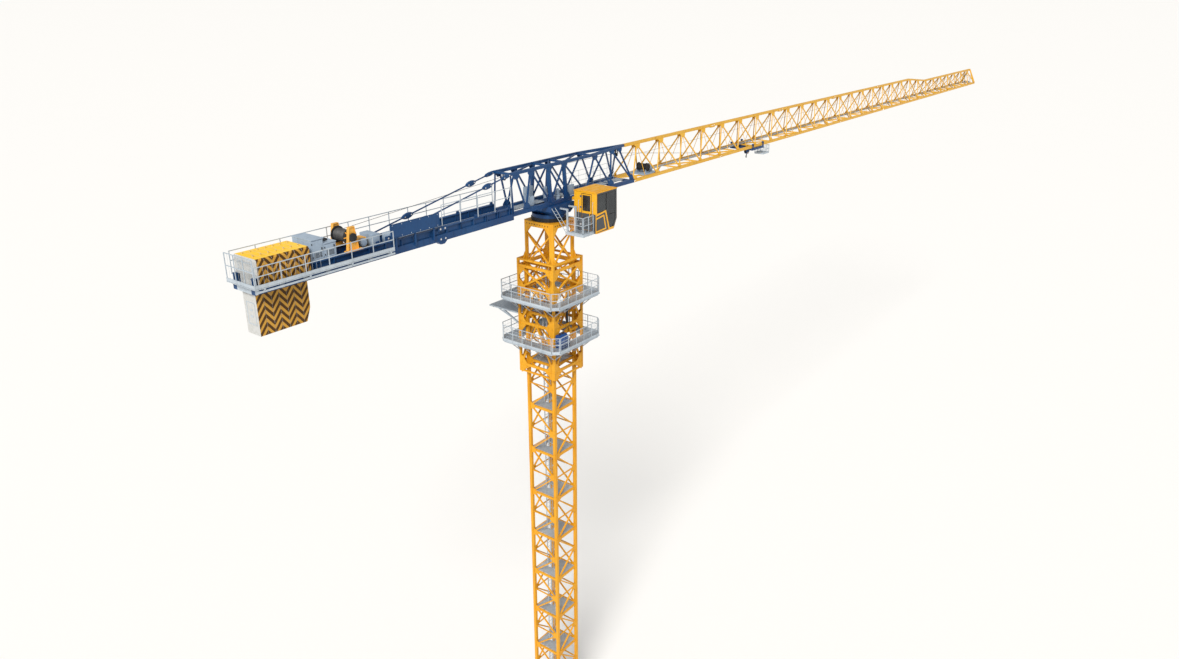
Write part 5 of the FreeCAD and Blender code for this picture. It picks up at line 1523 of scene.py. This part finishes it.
# dark gaskets of the near window, the windscreen's frame and wiper, and the door's frame
def buildCabGaskets():
    s = cabSettings
    window = {"outline": ((69.5, -36.5), (145, -36.5), (175, -131), (205, -131), (226, -92), (226, 54),
                          (69.5, 54),
                          (69.5, -36.5)), "pillar": ((146, -36), (146, 55)), "bar": ((176, -62), (228, -62))}
    screen = {"x0": 239.5, "x1": 242, "y0": -254, "y1": -128, "rails": ((-90, -84), (50, 58)),
              "posts": (-256, -192, -128), "wide": 4 * mm, "deep": 2 * mm}
    frameEdge = {"proud": 0.8, "wide": 2}
    mesh = bmesh.new()
    nearBand(mesh, window["outline"], s["gasket"], 1.2)
    nearBand(mesh, window["pillar"], 4, 1.5)
    nearBand(mesh, window["bar"], 3, 1.2)
    for z0, z1 in screen["rails"]:
        jibBox(mesh, screen["x0"], screen["x1"], screen["y0"], screen["y1"], z0, z1)
    for y in screen["posts"]:
        addBar(mesh, overJib(241.6, y, -86), overJib(238.6, y, 56), screen["wide"], screen["deep"], (1, 0, 0))
        addBar(mesh, overJib(217, y, -142), overJib(241, y, -95), screen["wide"], screen["deep"], (1, 0, -1))
    jibBar(mesh, (241.8, -206, -80), (241, -176, -12), 1.6, 1.2, (1, 0, 0))
    x, wide = s["x0"], frameEdge["wide"]
    back, door0, door1, top = x - frameEdge["proud"], s["door"][0] - wide, s["door"][1] + wide, s["door"][3]
    jibBox(mesh, back, x, door0, door0 + wide, s["door"][2] - wide, top + wide)
    jibBox(mesh, back, x, door1 - wide, door1, s["door"][2] - wide, top + wide)
    jibBox(mesh, back, x, door0, door1, top, top + wide)
    fit("cabGaskets", mesh, "rubber", bevel=0.25 * mm)


def buildCabLamps():
    lamp = {"x": 239.4, "rows": (-240, -146), "level": 62}
    profile = [(0.5 * mm, -1.4 * mm), (4 * mm, -1 * mm), (5 * mm, 2 * mm)]
    mesh = bmesh.new()
    for y in lamp["rows"]:
        addLathe(mesh, overJib(lamp["x"], y, lamp["level"]), (-1, 0, 0), profile, 16)
    fit("cabLamps", mesh, "brightSteel", smooth=True)


# the seat, its arm boxes and the side console behind the glass
def buildCabInside():
    mesh = bmesh.new()
    jibBox(mesh, 108, 150, -214, -172, -100, -88)
    jibBar(mesh, (110, -193, -90), (98, -193, -22), 42, 10, (1, 0, 0))
    jibTube(mesh, (130, -193, -142), (130, -193, -100), 9, 16)
    for y0, y1 in ((-228, -217), (-169, -158)):
        jibBox(mesh, 112, 156, y0, y1, -88, -70)
    jibBox(mesh, 176, 214, -252, -130, -141, -126)
    fit("cabSeat", mesh, "charcoal", bevel=2.0 * mm, smooth=True)


def buildCabDoor():
    s = cabSettings
    y0, y1, z0, z1 = s["doorWindow"]
    x = s["x0"]
    mesh = bmesh.new()
    jibBox(mesh, x - 0.9, x + 0.5, y0, y1, z0, z1)
    fit("doorWindow", mesh, "cabGlass", "cab_door", bevel=0.3 * mm)
    mesh = bmesh.new()
    jibBox(mesh, x - 1.1, x, -230, -172, -131, -45)
    fit("doorLowerPanel", mesh, "charcoal", "cab_door", bevel=0.3 * mm)
    mesh = bmesh.new()
    for a, b, c, d in ((y0 - 2, y0, z0 - 2, z1 + 2), (y1, y1 + 2, z0 - 2, z1 + 2), (y0, y1, z0 - 2, z0),
                       (y0, y1, z1, z1 + 2)):
        jibBox(mesh, x - 1.8, x, a, b, c, d)
    jibBox(mesh, x - 2.4, x, -227, -217, -66, -44)
    fit("doorGasket", mesh, "rubber", "cab_door", bevel=0.3 * mm)
    mesh = bmesh.new()
    for z in (-110, -20, 36):
        jibBox(mesh, x - 1.6, x, -168.4, -158, z, z + 9)
    fit("doorHinges", mesh, "brightSteel", bevel=0.4 * mm)


# wire infill and toe boards round the landing, grab rails by the door and the sloped steps
def buildLanding():
    lines = []
    for x in spaced(-28, 54, 10):
        lines.append([overJib(x, -247, -139), overJib(x, -247, -48)])
    for y in spaced(-242, -152, 10):
        lines.append([overJib(-31, y, -139), overJib(-31, y, -48)])
    for z in (-128, -110, -80, -62):
        lines.append([overJib(58, -247, z), overJib(-31, -247, z), overJib(-31, -148, z)])
    wires("landingWires", lines, 0.4 * mm, "zinc", "upperworks", 4)
    near, far = (-95, -97, -6), (-33, -140, -138)
    shift = Vector((26, 0, 0))
    first, last = Vector(near), Vector(far)
    lines = [[overJib(*first), overJib(*last)], [overJib(*(first + shift)), overJib(*(last + shift))]]
    wires("stepRails", lines, 1.8 * mm, "zinc", "upperworks", 8)
    rungs = []
    for i in range(1, 8):
        place = first.lerp(last, i / 8)
        rungs.append([overJib(*place), overJib(*(place + shift))])
    rungs += [[overJib(59, y, 20), overJib(54, y, 16), overJib(54, y, -84),
               overJib(59, y, -88)] for y in (-244, -152)]
    wires("grabRails", rungs, 1.1 * mm, "zinc", "upperworks", 8)
    mesh = bmesh.new()
    jibBox(mesh, -35, 60, -251.2, -250, -146, -132)
    jibBox(mesh, -35.2, -34, -251, -136, -146, -132)
    for x in (-20, 10, 40):
        jibBox(mesh, x, x + 4, -248, -140, -149, -145)
    fit("landingEdges", mesh, "zinc", bevel=0.3 * mm)


buildCabTrim()
buildCabPanels()
buildCabGaskets()
buildCabLamps()
buildCabInside()
buildCabDoor()
buildLanding()
print("cab detailed")


def wheelProfile(radius, half, groove):
    return [(radius * mm, -half * mm), (radius * mm, (-half + 1) * mm),
            ((radius - groove) * mm, -half * 0.3 * mm),
            ((radius - groove) * mm, half * 0.3 * mm), (radius * mm, (half - 1) * mm),
            (radius * mm, half * mm)]


def buildTrolleyWinch():
    mesh = bmesh.new()
    jibBox(mesh, 818, 968, -58, 58, 12, 15)
    for y in (-58, 54):
        jibBox(mesh, 818, 968, y, y + 4, 15, 20)
    addLathe(mesh, overJib(928, -22, 38), (0, 1, 0), [(14 * mm, 0), (17 * mm, 1 * mm), (17 * mm, 12 * mm),
                                                     (14 * mm, 13 * mm), (14 * mm, 30 * mm),
                                                      (17 * mm, 31 * mm),
                                                     (17 * mm, 42 * mm), (14 * mm, 43 * mm)], 28)
    jibBox(mesh, 908, 948, -18, 18, 15, 26)
    for y in (-34, 30):
        points = [(846, 15), (890, 15), (876, 62), (860, 62)]
        addPrism(mesh, [overJib(x, y, z) for x, z in points], (0, 4 * mm, 0))
    piece = fit("trolleyWinchFrame", mesh, "cabinetPaint", bevel=0.7 * mm, smooth=True)
    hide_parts("trolley_winch")
    mesh = bmesh.new()
    profile = [(22, -29), (23, -28), (23, -26), (17, -25.5)]
    for turn in range(15):
        profile += [(18, -25 + turn * 3.4), (19, -24.2 + turn * 3.4), (19, -23 + turn * 3.4),
                    (18, -22.4 + turn * 3.4)]
    profile += [(17, 26), (23, 26.5), (23, 28.5), (22, 29)]
    addLathe(mesh, overJib(868, 0, 52), (0, 1, 0), [(r * mm, y * mm) for r, y in profile], 40)
    for i in range(6):
        angle = math.pi * i / 3
        start = overJib(868 + math.cos(angle) * 4, -39.2, 52 + math.sin(angle) * 4)
        addBar(mesh, start, overJib(868 + math.cos(angle) * 22, -39.2, 52 + math.sin(angle) * 22), 3 * mm,
               2 * mm)
    for radius, near, far in ((6, -1.8, 5.5), (23, 0, 4)):
        addLathe(mesh, overJib(868, -39, 52), (0, 1, 0), [(radius * mm, near * mm), (radius * mm, far * mm)],
                 32)
    fit("trolleyWinchDrum", mesh, "darkSteel", smooth=True)


# the trolley's wheels, rope sheaves, side plates and cross braces
def buildTrolley():
    trolley = {"x": 2190, "rollers": (-75, 75), "rollerY": 88, "rollerLevel": 22.4, "sheaves": (-15, 15),
               "sheaveRows": (-6, 6), "sheaveLevel": -9, "shaftHalf": 15, "braces": ((-80, -20), (20, 80)),
               "plateHalf": 80, "plateY": (88, 90), "cheeks": (-14, 12.5), "cheekHalf": 24}
    middle, level = trolley["x"], trolley["sheaveLevel"]
    mesh = bmesh.new()
    for shift in trolley["rollers"]:
        place = overJib(middle + shift, trolley["rollerY"], trolley["rollerLevel"])
        addLathe(mesh, place, (0, 1, 0), [(7 * mm, 0), (7 * mm, 1.5 * mm), (3 * mm, 3 * mm)], 20)
    bothSides(mesh)
    for shift in trolley["sheaves"]:
        x, half = middle + shift, trolley["shaftHalf"]
        jibTube(mesh, (x, -half, level), (x, half, level), 2)
        for y in trolley["sheaveRows"]:
            addLathe(mesh, overJib(x, y, level), (0, 1, 0), wheelProfile(8, 3, 1.5), 24)
    fit("trolleyWheels", mesh, "darkSteel", "trolley", smooth=True)
    mesh = bmesh.new()
    for x0, x1 in trolley["braces"]:
        for side in (-1, 1):
            jibBar(mesh, (middle + x0, side * 80, -11), (middle + x1, -side * 80, -11), 6, 5, (0, 0, 1))
    for side in (-1, 1):
        y0, y1 = sorted(side * y for y in trolley["plateY"])
        jibBox(mesh, middle - trolley["plateHalf"], middle + trolley["plateHalf"], y0, y1, -14, -2)
    for y in trolley["cheeks"]:
        jibBox(mesh, middle - trolley["cheekHalf"], middle + trolley["cheekHalf"], y, y + 1.5, -17, -3)
    for side in (-1, 1):
        jibBox(mesh, middle + side * 84 - 4, middle + side * 84 + 4, 60, 74, -5.5, -1.5)
    fit("trolleyBraces", mesh, "navyPaint", "trolley", bevel=0.5 * mm)


# the service basket: floor, toe boards, rails and posts, with wire infill
def buildBasket():
    low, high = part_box("trolley_basket")
    basket = {"post": 3 * mm, "toe": 11 * mm, "floorLow": 0.4 * mm, "floorThick": 2.6 * mm,
              "inset": 0.25 * mm,
              "toeInset": 0.45 * mm, "wire": 0.4 * mm, "wirePitch": 8 * mm, "wireInset": 5 * mm}
    edge, inset, skirt, floor = basket["post"], basket["inset"], basket["toeInset"], low.z + basket["floorLow"]
    mesh = bmesh.new()
    addBox(mesh, (low.x + edge / 2, low.y + edge / 2, floor),
           (high.x - edge / 2, high.y - edge / 2, floor + basket["floorThick"]))
    for x0, x1, y0, y1 in ((low.x, high.x, low.y, low.y + edge), (low.x, high.x, high.y - edge, high.y),
                           (low.x, low.x + edge, low.y, high.y), (high.x - edge, high.x, low.y, high.y)):
        for z in (high.z - edge - inset, (low.z + high.z) / 2):
            addBox(mesh, (x0 + inset, y0 + inset, z), (x1 - inset, y1 - inset, z + edge))
        addBox(mesh, (x0 + skirt, y0 + skirt, low.z + inset), (x1 - skirt, y1 - skirt, low.z + basket["toe"]))
    for x in (low.x, (low.x + high.x) / 2, high.x - edge):
        for y in (low.y, high.y - edge):
            addBox(mesh, (x, y, low.z), (x + edge, y + edge, high.z))
    piece = fit("basketFrame", mesh, "zinc", "trolley", bevel=0.4 * mm)
    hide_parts("trolley_basket")
    lines = []
    top, bottom, middle, start = high.z - 1 * mm, low.z + 2 * mm, edge / 2, basket["wireInset"]
    for x in spaced(low.x + start, high.x - start, basket["wirePitch"]):
        lines += [[(x, y, bottom), (x, y, top)] for y in (low.y + middle, high.y - middle)]
    for y in spaced(low.y + start, high.y - start, basket["wirePitch"]):
        lines += [[(x, y, bottom), (x, y, top)] for x in (low.x + middle, high.x - middle)]
    wires("basketWires", lines, basket["wire"], "zinc", "trolley", 4)


# four rope falls that stretch between the trolley and the hook block
def buildFalls():
    falls = {"x": (-15 * mm, 15 * mm), "y": (-6 * mm, 6 * mm), "radius": 1.2 * mm}
    low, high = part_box("hoist_falls")
    middle = (low.x + high.x) / 2
    mesh = bmesh.new()
    for x in falls["x"]:
        for y in falls["y"]:
            addTube(mesh, (middle + x, y, low.z), (middle + x, y, high.z), falls["radius"], 10)
    piece = finishMesh("fallsRope", mesh, "ropeWire", smooth=True)
    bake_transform(piece)
    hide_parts("hoist_falls")


def buildHookBlock():
    low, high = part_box("hook_block")
    x, top = (low.x + high.x) / 2 / mm, (high.z - jibLevel) / mm
    mesh = bmesh.new()
    outline = [(-22, 0), (-10, 0), (-8, -3), (8, -3), (10, 0), (22, 0), (23, -12), (9, -26), (-9, -26),
               (-23, -12)]
    for y in (-10, 7):
        addPrism(mesh, [overJib(x + px, y, top + pz) for px, pz in outline], (0, 3 * mm, 0))
    jibBox(mesh, x - 9, x + 9, -9, 9, top - 25.5, top - 19)
    piece = fit("blockCheeks", mesh, "navyPaint", "hook_block", bevel=0.6 * mm)
    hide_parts("hook_block")
    mesh = bmesh.new()
    for shift in (-12.5, 12.5):
        for y in (-3.6, 3.6):
            addLathe(mesh, overJib(x + shift, y, top - 11), (0, 1, 0), wheelProfile(9.5, 3, 2), 26)
        jibTube(mesh, (x + shift, -11, top - 11), (x + shift, 11, top - 11), 2.4, 14)
    fit("blockSheaves", mesh, "darkSteel", "hook_block", smooth=True)
    mesh = bmesh.new()
    for y in (-10.5, 10):
        for shift in (-6, 0, 6):
            points = [(shift - 3, top - 24), (shift, top - 24), (shift + 3, top - 17), (shift, top - 17)]
            addPrism(mesh, [overJib(x + px, y, pz) for px, pz in points], (0, 0.5 * mm, 0))
    fit("blockStripes", mesh, "winchPaint", "hook_block")


# a forged hook: a tapering bill swept round its throat, with a nut, a collar and a latch
def buildHook():
    low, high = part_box("hook")
    x, top = (low.x + high.x) / 2 / mm, (high.z - jibLevel) / mm
    bill = {"centre": top - 18.7, "radius": 7.6, "from": 100, "to": 352, "steps": 22, "sides": 12,
            "thick": 3.0,
            "swell": 0.6, "taper": 2.0, "taperFrom": 0.6, "flatX": 0.95, "flatY": 0.85}
    nut, shank = 3.9 * mm, 2.8 * mm
    mesh = bmesh.new()
    addLathe(mesh, overJib(x, 0, top), -up,
             [(nut, 0), (nut, 3 * mm), (shank, 4 * mm), (shank, 9 * mm), (3.4 * mm, 12 * mm)], 20)
    rings = []
    for step in range(bill["steps"] + 1):
        share = step / bill["steps"]
        angle = math.radians(bill["from"] + (bill["to"] - bill["from"]) * share)
        thick = bill["thick"] + bill["swell"] * math.sin(math.pi * min(1.0, share * 1.25))
        thick -= bill["taper"] * max(0.0, share - bill["taperFrom"]) / (1 - bill["taperFrom"])
        ring = []
        for i in range(bill["sides"]):
            turn = 2 * math.pi * i / bill["sides"]
            reach = bill["radius"] + math.cos(turn) * thick * bill["flatX"]
            point = overJib(x + math.cos(angle) * reach, math.sin(turn) * thick * bill["flatY"],
                            bill["centre"] + math.sin(angle) * reach)
            ring.append(mesh.verts.new(point))
        rings.append(ring)
    for first, second in zip(rings, rings[1:]):
        for i in range(bill["sides"]):
            j = (i + 1) % bill["sides"]
            mesh.faces.new((first[i], first[j], second[j], second[i]))
    mesh.faces.new(rings[0])
    mesh.faces.new(list(reversed(rings[-1])))
    piece = fit("hookBill", mesh, "darkSteel", "hook", smooth=True)
    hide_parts("hook")
    mesh = bmesh.new()
    jibBar(mesh, (x + 2, 0, top - 10), (x + 7.4, 0, top - 19), 2.6, 0.8, (1, 0, 0))
    fit("hookLatch", mesh, "brightSteel", "hook", bevel=0.2 * mm)


# knee braces, cross ribs and rollers under the section carrier
def buildCarrierBraces():
    low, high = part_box("section_carrier")
    mesh = bmesh.new()
    for x in (low.x + 4 * mm, high.x - 4 * mm):
        addBar(mesh, (x, low.y, low.z + 8 * mm), (x, high.y - 60 * mm, high.z - 6 * mm), 4 * mm, 4 * mm,
               (1, 0, 0))
    for share in (0.3, 0.6, 0.85):
        y = low.y + (high.y - low.y) * share
        addBox(mesh, (low.x, y, high.z - 8 * mm), (high.x, y + 5 * mm, high.z - 3 * mm))
    fit("carrierBraces", mesh, "zinc", "cage", bevel=0.4 * mm)
    mesh = bmesh.new()
    for x in (-50, 0, 50):
        for y in (180, 262):
            addTube(mesh, (x * mm - 0.006, y * mm, high.z - 9 * mm),
                    (x * mm + 0.006, y * mm, high.z - 9 * mm), 5 * mm, 16)
    fit("carrierRollers", mesh, "darkSteel", "cage", smooth=True)


buildTrolleyWinch()
buildTrolley()
buildBasket()
buildFalls()
buildHookBlock()
buildHook()
buildCarrierBraces()
print("trolley, hook and section carrier detailed")
